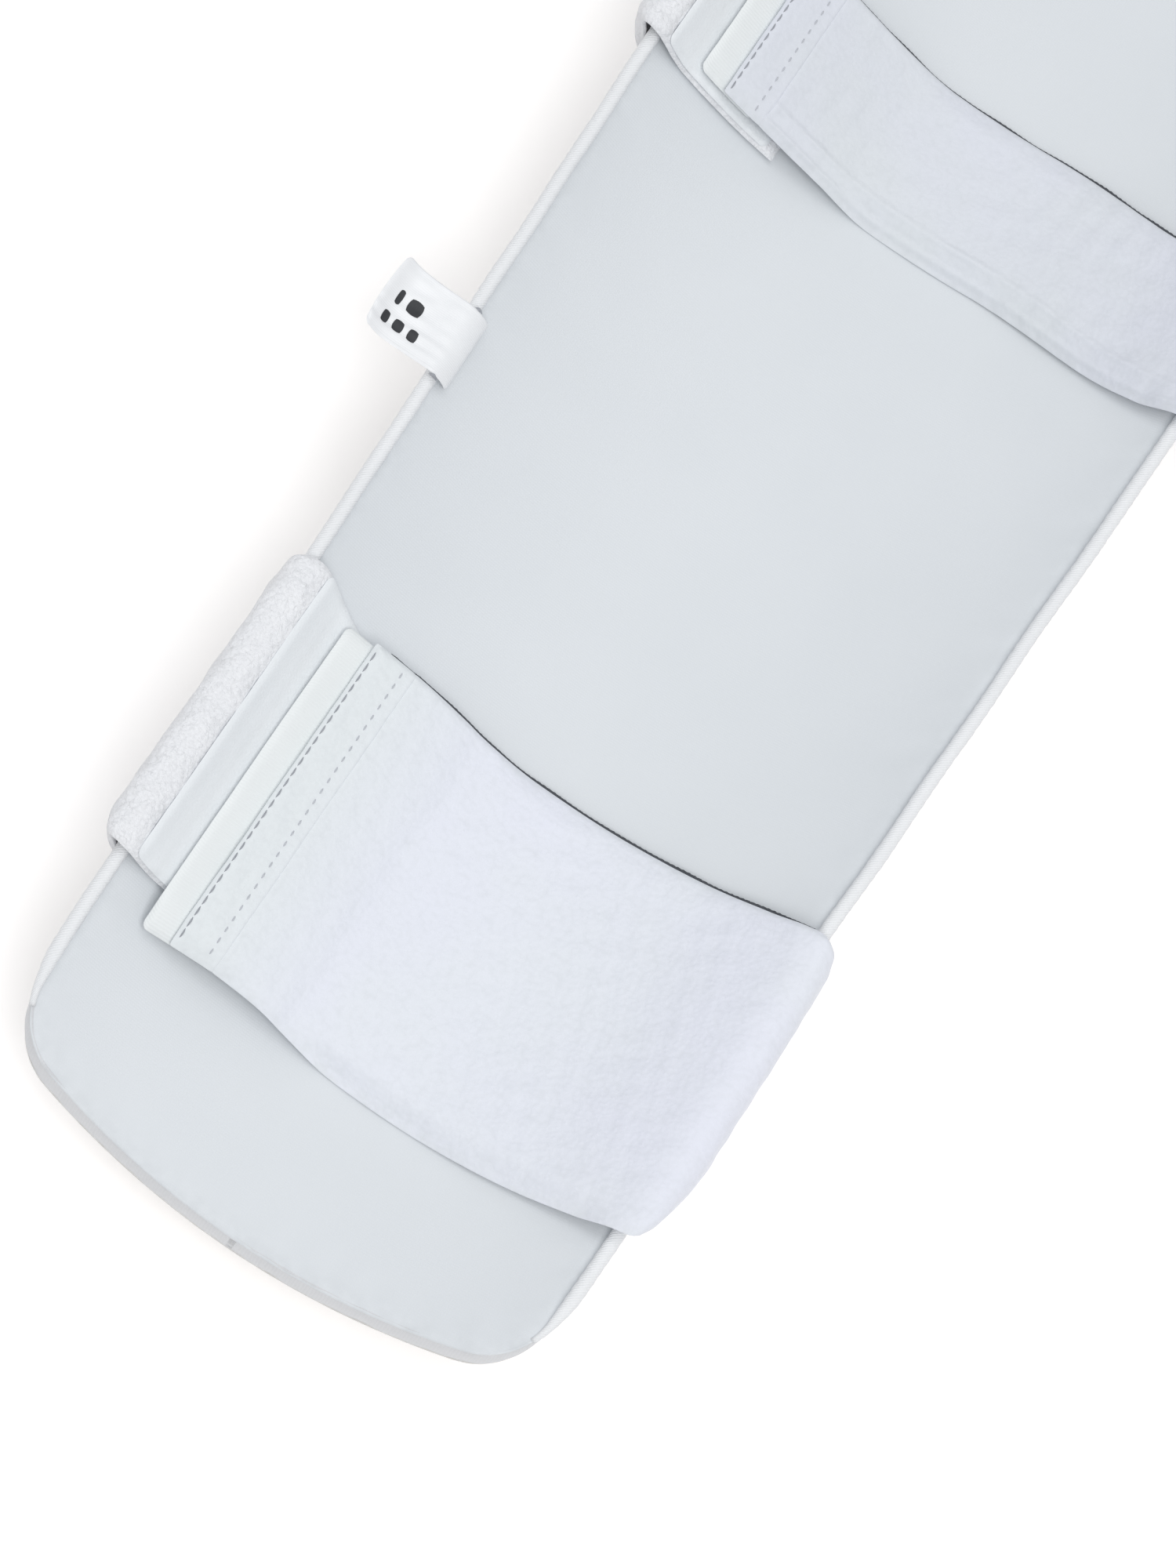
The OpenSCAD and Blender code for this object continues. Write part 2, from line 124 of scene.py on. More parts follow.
def smooth_curve(points, steps=CURVE_STEPS):
    """A Catmull-Rom curve through all the points."""
    points = np.array(points, float)
    padded = np.vstack([points[:1], points, points[-1:]])
    t = (np.arange(steps) / steps)[:, None]
    spans = []
    for a, b, c, d in zip(padded, padded[1:], padded[2:], padded[3:]):
        spans.append((2 * b + (c - a) * t + (2 * a - 5 * b + 4 * c - d) * t * t
                      + (3 * b - a - 3 * c + d) * t ** 3) / 2)
    return np.vstack(spans + [points[-1:]])


def distances(path):
    """How far along the path each of its points is."""
    return np.concatenate([[0], np.cumsum(np.linalg.norm(np.diff(path, axis=0), axis=1))])


def points_at(path, along, wanted):
    """Points of a path at the wanted distances along it."""
    return np.stack([np.interp(wanted, along, path[:, k]) for k in range(path.shape[1])], axis=1)


def resampled(path, count):
    """The same path as evenly spaced points."""
    along = distances(path)
    return points_at(path, along, np.linspace(0, along[-1], count))


def unit(vectors):
    return vectors / np.maximum(np.linalg.norm(vectors, axis=-1, keepdims=True), 1e-9)


# ---- outline of the pad, seen from above ----

def half_width(y):
    return (ANKLE_WIDTH + (KNEE_WIDTH - ANKLE_WIDTH) * (y - BOTTOM_Y) / LENGTH) / 2


SIDE_SLOPE = math.atan((KNEE_WIDTH - ANKLE_WIDTH) / 2 / LENGTH)


def arc(centre, radius, start, end, steps):
    turn = np.linspace(start, end, steps + 1)
    return np.stack([centre[0] + radius * np.cos(turn), centre[1] + radius * np.sin(turn)], axis=1)


def bowed_edge(y, corner_start, steps=24):
    t = np.linspace(0, 1, steps, endpoint=False)
    return np.stack([t * corner_start[0], y + t * t * (corner_start[1] - y)], axis=1)


def right_curves(inset):
    """Ankle edge, side and knee edge of the right half; they meet in the middles of the two corners."""
    ankle_slope = math.atan(2 * ANKLE_BOW / (ANKLE_WIDTH / 2 - ANKLE_CORNER))
    ankle_y = BOTTOM_Y + ANKLE_BOW + ANKLE_CORNER * math.cos(ankle_slope)
    knee_slope = math.atan(2 * KNEE_BOW / (KNEE_WIDTH / 2 - KNEE_CORNER))
    knee_y = TOP_Y - KNEE_BOW - KNEE_CORNER * math.cos(knee_slope)
    ankle_arc = arc((half_width(ankle_y) - ANKLE_CORNER, ankle_y), ANKLE_CORNER - inset,
                    ankle_slope - math.pi / 2, -SIDE_SLOPE, ANKLE_STEPS)
    knee_arc = arc((half_width(knee_y) - KNEE_CORNER, knee_y), KNEE_CORNER - inset,
                   -SIDE_SLOPE, math.pi / 2 - knee_slope, KNEE_STEPS)
    ankle_half, knee_half = ANKLE_STEPS // 2, KNEE_STEPS // 2
    ankle = np.vstack([bowed_edge(BOTTOM_Y + inset, ankle_arc[0]), ankle_arc[:ankle_half + 1]])
    side = np.vstack([ankle_arc[ankle_half:], knee_arc[:knee_half + 1]])
    knee = np.vstack([bowed_edge(TOP_Y - inset, knee_arc[-1]), knee_arc[:knee_half - 1:-1]])
    return ankle, side, knee


def outline(inset, count):
    """The whole outline as evenly spaced points, anticlockwise from the middle of the ankle edge."""
    ankle, side, knee = right_curves(inset)
    right = np.vstack([ankle, side[1:], knee[-2::-1]])
    left = right[-2:0:-1] * [-1, 1]
    return resampled(np.vstack([right, left, right[:1]]), count + 1)[:-1]


def coons_grid(ankle, side, knee, columns, rows):
    """Points of a grid that fills a symmetric outline given by its right half's three curves."""
    def whole(edge):
        return resampled(np.vstack([edge[:0:-1] * [-1, 1], edge]), columns)

    low = whole(ankle)
    high = whole(knee)
    right = resampled(side, rows)
    left = right * [-1, 1]
    u = np.linspace(0, 1, columns)[None, :, None]
    v = np.linspace(0, 1, rows)[:, None, None]
    corners = ((1 - u) * (1 - v) * low[0] + u * (1 - v) * low[-1]
               + (1 - u) * v * high[0] + u * v * high[-1])
    return (1 - v) * low[None] + v * high[None] + (1 - u) * left[:, None] + u * right[:, None] - corners


OUTLINE_POINTS = 700
OUTLINE = outline(0, OUTLINE_POINTS)
OUTLINE_ALONG = distances(np.vstack([OUTLINE, OUTLINE[:1]]))[:-1]


def edge_distance(plan):
    """Distance of each plan point from the outline, and how far round the outline its nearest point is."""
    flat = plan.reshape(-1, 2)
    near = np.empty(len(flat), int)
    batch = 4000
    for start in range(0, len(flat), batch):
        part = flat[start:start + batch]
        near[start:start + batch] = ((part[:, None] - OUTLINE[None]) ** 2).sum(-1).argmin(1)
    away = np.linalg.norm(flat - OUTLINE[near], axis=1)
    return away.reshape(plan.shape[:-1]), OUTLINE_ALONG[near].reshape(plan.shape[:-1])


def level(plan, radius):
    """Plan points lifted onto a cylinder of that radius about the leg's axis."""
    x = np.clip(plan[..., 0], -radius + 1, radius - 1)
    return np.stack([plan[..., 0], plan[..., 1], AXIS_Z - np.sqrt(radius ** 2 - x ** 2)], axis=-1)


# ---- meshes ----

def face_outwards(mesh):
    work = bmesh.new()
    work.from_mesh(mesh)
    bmesh.ops.recalc_face_normals(work, faces=work.faces)
    work.to_mesh(mesh)
    work.free()


def new_object(name, data):
    """An object that shows the data, linked into the scene."""
    thing = bpy.data.objects.new(name, data)
    bpy.context.scene.collection.objects.link(thing)
    return thing


def make_mesh(name, points, faces, material, weave=None, worn=None, levels=0):
    """An object from points in millimetres; weave is flat cloth coordinates, worn 0 to 1 near its edges."""
    mesh = bpy.data.meshes.new(name)
    mesh.from_pydata((np.asarray(points) * MM).tolist(), [], faces)
    mesh.validate()
    face_outwards(mesh)
    mesh.shade_smooth()
    for label, values in (("rest", points), ("weave", points if weave is None else weave)):
        attribute = mesh.attributes.new(label, "FLOAT_VECTOR", "POINT")
        attribute.data.foreach_set("vector", np.asarray(values, np.float32).ravel())
    worn = np.zeros(len(points)) if worn is None else worn
    attribute = mesh.attributes.new("worn", "FLOAT", "POINT")
    attribute.data.foreach_set("value", np.asarray(worn, np.float32).ravel())
    piece = new_object(name, mesh)
    mesh.materials.append(material)
    if levels:
        refine = piece.modifiers.new("refine", "SUBSURF")
        refine.levels = refine.render_levels = levels
    return piece


def grid_faces(rows, columns, first=0, wrap=False, flip=False):
    faces = []
    for i in range(rows - 1):
        for j in range(columns if wrap else columns - 1):
            k = (j + 1) % columns
            face = [i * columns + j, i * columns + k, (i + 1) * columns + k, (i + 1) * columns + j]
            faces.append([first + n for n in (face[::-1] if flip else face)])
    return faces


def rim_indices(rows, columns):
    """Indices of a grid's border points, anticlockwise, and of their inner neighbours."""
    rim = [(0, j) for j in range(columns)] + [(i, columns - 1) for i in range(1, rows)]
    rim += [(rows - 1, j) for j in range(columns - 2, -1, -1)] + [(i, 0) for i in range(rows - 2, 0, -1)]
    inner = [(min(max(i, 1), rows - 2), min(max(j, 1), columns - 2)) for i, j in rim]
    return [i * columns + j for i, j in rim], [i * columns + j for i, j in inner]


def layer(name, upper, lower, material, weave=None, worn=None, rim_rings=2, bulge=0.0, levels=0):
    """A closed layer between two grids of points, with a rounded rim."""
    rows, columns = upper.shape[:2]
    size = rows * columns
    top, under = upper.reshape(-1, 3), lower.reshape(-1, 3)
    rim, inner = rim_indices(rows, columns)
    outward = unit((top[rim] + under[rim]) / 2 - (top[inner] + under[inner]) / 2)
    points = [top, under]
    faces = grid_faces(rows, columns) + grid_faces(rows, columns, size, flip=True)
    ring = rim
    for k in range(1, rim_rings + 1):
        t = k / (rim_rings + 1)
        points.append(top[rim] * (1 - t) + under[rim] * t + outward * bulge * math.sin(math.pi * t))
        fresh = [2 * size + (k - 1) * len(rim) + n for n in range(len(rim))]
        faces += ring_faces(ring, fresh)
        ring = fresh
    faces += ring_faces(ring, [size + n for n in rim])

    def spread(values):
        flat = values.reshape((size,) + values.shape[2:])
        return np.concatenate([flat, flat] + [flat[rim]] * rim_rings)

    weave = spread(upper * [1, 1, 0] if weave is None else weave)
    worn = None if worn is None else spread(worn)
    return make_mesh(name, np.vstack(points), faces, material, weave, worn, levels)


def ring_faces(a, b):
    n = len(a)
    return [[a[(k + 1) % n], a[k], b[k], b[(k + 1) % n]] for k in range(n)]


def path_normals(path):
    """Left-hand normals of a path of [x, z] points."""
    along = np.gradient(path, axis=0)
    return unit(np.stack([-along[:, 1], along[:, 0]], axis=1))


def rod(path, across, up, radii, sides, first=0):
    """Points and closed faces of a round rod; across and up are its directions at each point of the path."""
    turn = np.linspace(0, math.tau, sides, endpoint=False)[None, :, None]
    around = across[:, None] * np.cos(turn) + up[:, None] * np.sin(turn)
    points = path[:, None] + around * np.asarray(radii)[:, None, None]
    start = list(range(first, first + sides))
    end = [(len(path) - 1) * sides + n for n in start]
    return points.reshape(-1, 3), grid_faces(len(path), sides, first, wrap=True) + [start[::-1], end]


def tube(name, path, radii, material, sides):
    """A closed round piece along a path of 3-D points; radii has one value for each point."""
    along = unit(np.gradient(path, axis=0))
    side = unit(np.cross(along, [0, 0, 1.0]))
    points, faces = rod(path, side, np.cross(side, along), radii, sides)
    around, length = np.meshgrid(np.linspace(0, math.tau, sides, endpoint=False) * np.mean(radii),
                                 distances(path))
    weave = np.stack([around, length, 0 * length], -1).reshape(-1, 3)
    return make_mesh(name, points, faces, material, weave)


def placed(piece, nodes=(), body="pad", end_body=None):
    """The piece moves with a body, or, when it spans two bodies, is baked where it lies with no body; it
    takes the place of CAD nodes.
    """
    if end_body:
        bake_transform(piece)
    else:
        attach(piece, body)
    if nodes:
        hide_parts(*nodes)


# ---- threads ----

def stitch_row(path, normals, pitch=3.0, length=2.1, radius=0.26, sink=0.05):
    """Points and faces of a row of stitches along a path of 3-D points on a surface."""
    along = distances(path)
    sides, rings = 6, 5
    hump = np.sin(np.linspace(0, math.pi, rings))
    points, faces = [], []
    for n in range(int((along[-1] - length) / pitch) + 1):
        spots = n * pitch + (pitch - length) / 2 + np.linspace(0, length, rings)
        middle = points_at(path, along, spots)
        normal = unit(points_at(normals, along, spots))
        across = unit(np.cross(unit(np.gradient(middle, axis=0)), normal))
        middle = middle + normal * (radius * (1.5 * hump - 1) + sink)[:, None]
        stitch, stitch_faces = rod(middle, across, normal, radius * (0.35 + 0.65 * hump ** 0.6), sides,
                                   len(points) * rings * sides)
        points.append(stitch)
        faces += stitch_faces
    return np.vstack(points), faces


def thread_rows(name, rows, material):
    """One object that holds several rows of stitches."""
    points, faces, count = [], [], 0
    for row_points, row_faces in rows:
        points.append(row_points)
        faces += [[count + n for n in face] for face in row_faces]
        count += len(row_points)
    return make_mesh(name, np.vstack(points), faces, material)


# ---- materials ----

def link(tree, value, socket):
    if isinstance(value, bpy.types.NodeSocket):
        tree.links.new(value, socket)
    else:
        socket.default_value = value


def add(tree, kind, inputs=None, output=0, **settings):
    """A new node with its settings and inputs; returns one of its outputs."""
    node = tree.nodes.new("ShaderNode" + kind)
    for key, value in settings.items():
        setattr(node, key, value)
    for key, value in (inputs or {}).items():
        link(tree, value, node.inputs[key])
    return node.outputs[output]


def maths(tree, operation, a, b=0.0, c=0.0):
    return add(tree, "Math", {0: a, 1: b, 2: c}, operation=operation)


def mixed(tree, share, a, b):
    return add(tree, "Mix", {0: share, 6: a, 7: b}, output=2, data_type="RGBA")


def attribute(tree, name, output=1):
    return add(tree, "Attribute", output=output, attribute_name=name)


def noise(tree, coordinates, scale, detail=2.0, roughness=0.5, distortion=0.0):
    return add(tree, "TexNoise", {"Vector": coordinates, "Scale": scale, "Detail": detail,
                                  "Roughness": roughness, "Distortion": distortion})


def voronoi(tree, coordinates, scale, randomness=1.0, feature="F1"):
    return add(tree, "TexVoronoi", {"Vector": coordinates, "Scale": scale, "Randomness": randomness},
               feature=feature)


def stretched(tree, coordinates, scale):
    return add(tree, "Mapping", {"Vector": coordinates, "Scale": scale})


def wave(tree, coordinates, pitch, axis):
    """A sine of the coordinate along one axis, from 0 to 1."""
    along = add(tree, "SeparateXYZ", {0: coordinates}, output=axis)
    return maths(tree, "MULTIPLY_ADD", maths(tree, "SINE", maths(tree, "MULTIPLY", along, math.tau / pitch)),
                 0.5, 0.5)


def drifted(tree, coordinates, pitch):
    """Coordinates that wander a little, so that cells on them don't line up."""
    drift = add(tree, "TexNoise", {"Vector": coordinates, "Scale": 0.5 / pitch}, output=1)
    return add(tree, "VectorMath", {0: coordinates, 1: drift}, operation="ADD")


def with_share(tree, main, extra, share):
    return maths(tree, "ADD", main, maths(tree, "MULTIPLY", extra, share))


def knit_height(tree, coordinates, pitch):
    """Interlocked loops: offset columns of small cushions."""
    moved = stretched(tree, drifted(tree, coordinates, pitch), (1.0, 0.8, 1.0))
    cushions = maths(tree, "SUBTRACT", 1.0, voronoi(tree, moved, 1 / pitch, 0.8, "SMOOTH_F1"))
    return with_share(tree, cushions, noise(tree, coordinates, 3.0 / pitch), 0.25)


def weave_height(tree, coordinates, pitch):
    """Plain weave: warp and weft threads that pass over each other."""
    threads = maths(tree, "MULTIPLY", wave(tree, coordinates, pitch, 0), wave(tree, coordinates, pitch, 1))
    return with_share(tree, threads, noise(tree, coordinates, 2.5 / pitch), 0.3)


def terry_height(tree, coordinates, pitch):
    tufts = maths(tree, "SUBTRACT", 1.0, voronoi(tree, coordinates, 1 / pitch))
    return with_share(tree, tufts, noise(tree, coordinates, 2.2 / pitch, 3.0, 0.65, 0.6), 0.9)


def grain_height(tree, coordinates, pitch):
    """Pebbles of coated leather with fine creases between them."""
    cells = voronoi(tree, drifted(tree, coordinates, pitch), 1 / pitch, 1.0, "DISTANCE_TO_EDGE")
    pebbles = add(tree, "MapRange", {0: cells, 1: 0.0, 2: 0.32}, interpolation_type="SMOOTHERSTEP")
    return with_share(tree, pebbles, noise(tree, coordinates, 3.5 / pitch), 0.25)


def foam_height(tree, coordinates, pitch):
    return voronoi(tree, coordinates, 1 / pitch, 1.0, "SMOOTH_F1")


def ribs_height(tree, coordinates, pitch):
    """Fine cross ribs, as on satin ribbon and tape."""
    uneven = noise(tree, coordinates, 1.2 / pitch, 3.0)
    return with_share(tree, wave(tree, coordinates, pitch, 0), uneven, 0.5)


def twist_height(tree, coordinates, pitch):
    """Slanting strands of a knitted or twisted cover."""
    across, along = [add(tree, "SeparateXYZ", {0: coordinates}, output=k) for k in (0, 1)]
    slant = with_share(tree, across, along, 1.4)
    strands = maths(tree, "SINE", maths(tree, "MULTIPLY", slant, math.tau / pitch))
    return with_share(tree, noise(tree, coordinates, 1.5 / pitch), strands, 0.5)


def cane_height(tree, coordinates, pitch):
    """Long grain lines along a split cane."""
    return noise(tree, stretched(tree, coordinates, (1.0, 0.04, 1.0)), 1 / pitch, 4.0, 0.6, 0.3)


def plate_height(tree, coordinates, pitch):
    """The fine spark-eroded grain of a moulding."""
    return noise(tree, coordinates, 1 / pitch, 3.0, 0.7)


def finish(name, light, dark, height, pitch, depth, roughness, blotch, groove_shade, sheen=0.0, coat=0.0,
           blotch_share=0.5, coordinates="rest", worn_tone=None, specular=0.35, faded=None):
    """A surface with a small relief, tones that drift over it, painted shade in the relief's grooves and worn
    edges.

    blotch is the size of the drifting tones, and the argument after it is how much painted shade darkens the
    relief's low parts.
    coordinates is "rest", "weave" or, for a CAD node, "object", since it has no stored coordinates.
    faded holds the two values of x between which the dark tone takes over from the blotches.
    """
    material = bpy.data.materials.new(name)
    material.use_nodes = True
    tree = material.node_tree
    shader = tree.nodes["Principled BSDF"]
    if coordinates == "object":
        metres = add(tree, "TexCoord", output=3)
        flat = place = add(tree, "Mapping", {"Vector": metres, "Scale": (1 / MM,) * 3})
    else:
        flat = attribute(tree, coordinates)
        place = attribute(tree, "rest")
    relief = height(tree, flat, pitch)
    drift = add(tree, "MapRange", {0: noise(tree, place, 1 / blotch, 3.0, 0.55), 1: 0.3, 2: 0.7})
    share = maths(tree, "MULTIPLY", drift, blotch_share)
    if faded:
        across = add(tree, "SeparateXYZ", {0: place}, output=0)
        share = maths(tree, "MAXIMUM", share, add(tree, "MapRange", {0: across, 1: faded[0], 2: faded[1]}))
    tone = mixed(tree, share, (*light, 1), (*dark, 1))
    fine = maths(tree, "ADD", noise(tree, flat, 1.1 / pitch), 0.5)
    # painted shade: the relief's low parts are darkened, broken up by fine noise
    low = add(tree, "MapRange", {0: relief, 1: 0.15, 2: 0.75, 3: groove_shade, 4: 0.0})
    tone = mixed(tree, maths(tree, "MULTIPLY", low, fine), tone, (*(0.72 * c for c in dark), 1))
    patches = add(tree, "MapRange", {0: noise(tree, place, 0.35, 3.0), 1: 0.35, 2: 0.65})
    patchy = maths(tree, "MULTIPLY", attribute(tree, "worn", 2), patches)
    tone = mixed(tree, patchy, tone, (*(worn_tone or [0.9 * c for c in dark]), 1))
    rough = with_share(tree, with_share(tree, roughness - 0.05, drift, 0.1), patchy, 0.08)
    inputs = {
        "Base Color": tone,
        "Roughness": rough,
        "Normal": add(tree, "Bump", {"Height": relief, "Strength": 0.8, "Distance": depth * MM}),
        "Sheen Weight": sheen,
        "Sheen Roughness": 0.45,
        "Coat Weight": coat,
        "Coat Roughness": 0.35,
        "Specular IOR Level": specular,
    }
    for key, value in inputs.items():
        link(tree, value, shader.inputs[key])
    return material


def cloth(*values, **more):
    """A finish whose relief follows the flat cloth."""
    return finish(*values, coordinates="weave", **more)


def thread(name, light, dark):
    return finish(name, light, dark, twist_height, 0.25, 0.04, 0.60, 5.0, 0.3)


# Each finish: name, light tone, dark tone, relief, its pitch and depth, roughness, blotch, painted shade in
# the grooves.
MATERIALS = {
    "lining": cloth("lining_cloth", (0.690, 0.720, 0.748), (0.655, 0.688, 0.716),
                    weave_height, 0.55, 0.014, 0.86, 38.0, 0.04, sheen=0.15),
    "strap": cloth("strap_knit", (0.740, 0.760, 0.841), (0.729, 0.767, 0.785),
                   knit_height, 1.15, 0.21, 0.84, 44.0, 0.23, sheen=0.25, faded=(-8.0, -38.0)),
    "knee_strap": cloth("knee_strap_knit", (0.685, 0.708, 0.775), (0.672, 0.705, 0.733),
                        knit_height, 1.15, 0.17, 0.84, 38.0, 0.20, sheen=0.25, blotch_share=0.9),
    "towelling": cloth("towelling", (0.850, 0.862, 0.885), (0.760, 0.775, 0.805),
                       terry_height, 1.5, 0.55, 0.95, 9.0, 0.17, sheen=0.4),
    "loop_tape": cloth("loop_tape", (0.792, 0.822, 0.845), (0.755, 0.785, 0.810),
                       terry_height, 0.5, 0.06, 0.93, 14.0, 0.08, sheen=0.3),
    "hook_tape": cloth("hook_tape", (0.795, 0.826, 0.830), (0.760, 0.790, 0.796),
                       ribs_height, 0.7, 0.05, 0.55, 12.0, 0.08),
    "piping": cloth("piping_cover", (0.830, 0.845, 0.860), (0.780, 0.797, 0.815),
                    twist_height, 0.9, 0.08, 0.80, 14.0, 0.18, sheen=0.2),
    # gusset knit, toned darker than the lining as painted shade for the side wall along the outline
    "gusset": cloth("gusset_knit", (0.668, 0.682, 0.702), (0.628, 0.642, 0.662),
                    weave_height, 0.7, 0.05, 0.85, 18.0, 0.12, sheen=0.15),
    "facing": finish("coated_leather", (0.800, 0.800, 0.790), (0.750, 0.748, 0.735),
                     grain_height, 1.1, 0.10, 0.46, 20.0, 0.20, coat=0.12, worn_tone=(0.66, 0.65, 0.62)),
    "thread": thread("thread", (0.700, 0.705, 0.720), (0.610, 0.615, 0.635)),
    # dark grey thread: real hem stitches, drawn dark to also paint the shade of the closing end's step, and
    # the painted-shadow tacks at the label's root
    "seam_and_shadow_thread": thread("seam_and_shadow_thread", (0.400, 0.415, 0.450), (0.320, 0.335, 0.370)),
    "faint_thread": thread("faint_thread", (0.600, 0.620, 0.660), (0.520, 0.540, 0.580)),
    # painted shadow: near-black tones for the rods that stand for the shade under the straps' knee-side edges
    "shadow_line_thread": finish("shadow_line_thread", (0.085, 0.092, 0.105), (0.055, 0.060, 0.070),
                          twist_height, 0.40, 0.05, 0.75, 6.0, 0.4),
    "label": cloth("label_satin", (0.840, 0.855, 0.872), (0.785, 0.798, 0.818),
                   ribs_height, 0.45, 0.03, 0.38, 7.0, 0.10, sheen=0.2),
    "ink": cloth("label_ink", (0.030, 0.032, 0.036), (0.055, 0.058, 0.064),
                 ribs_height, 0.45, 0.02, 0.60, 2.0, 0.3),
    "soft_foam": finish("soft_foam", (0.760, 0.735, 0.640), (0.690, 0.655, 0.545),
                        foam_height, 0.8, 0.30, 0.95, 12.0, 0.5),
    "firm_foam": finish("firm_foam", (0.600, 0.640, 0.680), (0.520, 0.565, 0.610),
                        foam_height, 0.35, 0.08, 0.80, 12.0, 0.3),
    "cane": finish("split_cane", (0.700, 0.540, 0.290), (0.520, 0.360, 0.160),
                   cane_height, 0.6, 0.10, 0.42, 9.0, 0.6, coat=0.15, coordinates="object"),
    "plate": finish("moulded_plate", (0.060, 0.066, 0.076), (0.038, 0.042, 0.050),
                    plate_height, 0.35, 0.05, 0.48, 35.0, 0.3, specular=0.5, coordinates="object"),
}


def refinish(node, material):
    """A finish for a CAD node that shows as it is."""
    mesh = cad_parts[node].data
    mesh.materials.clear()
    mesh.materials.append(material)


# ---- body of the pad ----

LINING_TUCK = 0.75
LINING_DEPTH = 0.85
LINING_INSET = 0.25
FACING_TUCK = 0.75
FOAM_INSET = 1.5
FOAM_ROUNDING = 0.5
GUSSET_ROWS = 9
GUSSET_SAG = 0.55
PIPING_RADIUS = 1.5
PIPING_SINK = 0.15
PIPING_DIVE = 1.1
PIPING_FADE = 12


def lining_relief(plan):
    """Height of the lining over its cylinder: rolled under at the edge, puckered beside the seam."""
    away, along = edge_distance(plan)
    x, y = plan[..., 0], plan[..., 1]
    tuck = -LINING_TUCK * np.exp(-(away / 1.9) ** 2)
    swell = -0.22 + 0.16 * ripples(x, y, 52, 3)
    pucker = 0.20 * np.exp(-((away - 4.5) / 4.0) ** 2) * ripples(along, away * 0.6, 11, 5)
    crease = -0.10 * np.maximum(0, ripples(x, y * 0.35, 19, 8) - 0.9)
    return tuck + swell + pucker - 0.1 + crease, away


def back_lining():
    plan = coons_grid(*right_curves(LINING_INSET), 81, 221)
    relief, away = lining_relief(plan)
    upper = level(plan, LEG_RADIUS)
    upper[..., 2] += relief
    piece = layer("back_lining_cloth", upper, upper - [0, 0, LINING_DEPTH], MATERIALS["lining"],
                  worn=np.exp(-(away / 3.0) ** 2) * 0.5, bulge=0.15, levels=1)
    placed(piece, ["back_lining"])


def foam_slab(node, slot, r_upper, r_lower, relief_share, seed, hollow=None):
    """One foam layer of the body, with soft edges.

    relief_share is how much it takes from the lining's relief; hollow is its recess's margin and depth.
    """
    plan = coons_grid(*right_curves(FOAM_INSET), 41, 101)
    relief, away = lining_relief(plan)
    rounding = FOAM_ROUNDING * np.exp(-(away - FOAM_INSET) / 1.5)
    cells = 0.05 * ripples(plan[..., 0], plan[..., 1], 7, seed)
    upper = level(plan, r_upper)
    upper[..., 2] += relief * relief_share - rounding + cells - 0.06
    lower = level(plan, r_lower)
    lower[..., 2] += rounding + 0.06
    if hollow:
        margin, depth = hollow
        lower[..., 2] += depth * ease((away - margin) / 2.0 + 1)
    piece = layer(node + "_pad", upper, lower, MATERIALS[slot])
    placed(piece, [node])


def front_facing():
    plan = coons_grid(*right_curves(LINING_INSET), 61, 161)
    away, along = edge_distance(plan)
    upper = level(plan, R_FACING - 1.0)
    lower = level(plan, R_FACING - 0.08)
    pucker = 0.14 * np.exp(-((away - 3.5) / 3.5) ** 2) * ripples(along, away * 0.5, 9, 15)
    tuck = FACING_TUCK * np.exp(-(away / 1.6) ** 2)
    rise = tuck + np.abs(pucker) + 0.05 * (1 + ripples(plan[..., 0], plan[..., 1], 30, 4))
    upper[..., 2] += rise * 0.6
    lower[..., 2] += rise
    piece = layer("front_facing_skin", upper, lower, MATERIALS["facing"],
                  worn=np.exp(-(away / 4.0) ** 2) * 0.8, bulge=0.15, levels=1)
    placed(piece, ["front_facing"])


def edge_gusset():
    """The side wall: a narrow strip all the way round, tucked in at both seams."""
    count, rows = len(OUTLINE), GUSSET_ROWS
    inward = unit(np.roll(OUTLINE, -1, 0) - np.roll(OUTLINE, 1, 0))[:, ::-1] * [-1, 1]
    top = LEG_RADIUS + SKIN - 0.3
    strip, inner = [], []
    for t in np.linspace(0, 1, rows):
        radius = top + (R_CORE + 0.2 - top) * t
        bend = math.sin(math.pi * t)
        pucker = 0.13 * ripples(OUTLINE_ALONG, t * 9, 8, 21) * (1 - 0.6 * bend)
        z = level(OUTLINE, radius)[:, 2]
        depth = GUSSET_SAG * abs(bend) ** 0.8 - 0.35 + pucker
        strip.append(np.column_stack([OUTLINE - inward * depth[:, None], z]))
        inner.append(np.column_stack([OUTLINE + inward, z]))
    half = rows * count
    faces = grid_faces(rows, count, wrap=True, flip=True) + grid_faces(rows, count, half, wrap=True)
    for row in (0, rows - 1):
        outer_rim = [row * count + n for n in range(count)]
        inner_rim = [half + n for n in outer_rim]
        faces += ring_faces(outer_rim, inner_rim) if row else ring_faces(inner_rim, outer_rim)
    heights = np.repeat(np.arange(rows) * 1.3, count)
    weave = np.stack([np.tile(OUTLINE_ALONG, rows), heights, 0 * heights], 1)
    worn = np.abs(np.linspace(-1, 1, rows)).repeat(count) ** 3 * 0.6
    piece = make_mesh("edge_gusset_cloth", np.vstack(strip + inner), faces, MATERIALS["gusset"],
                      np.vstack([weave, weave]), np.tile(worn, 2), levels=1)
    placed(piece, ["edge_gusset"])


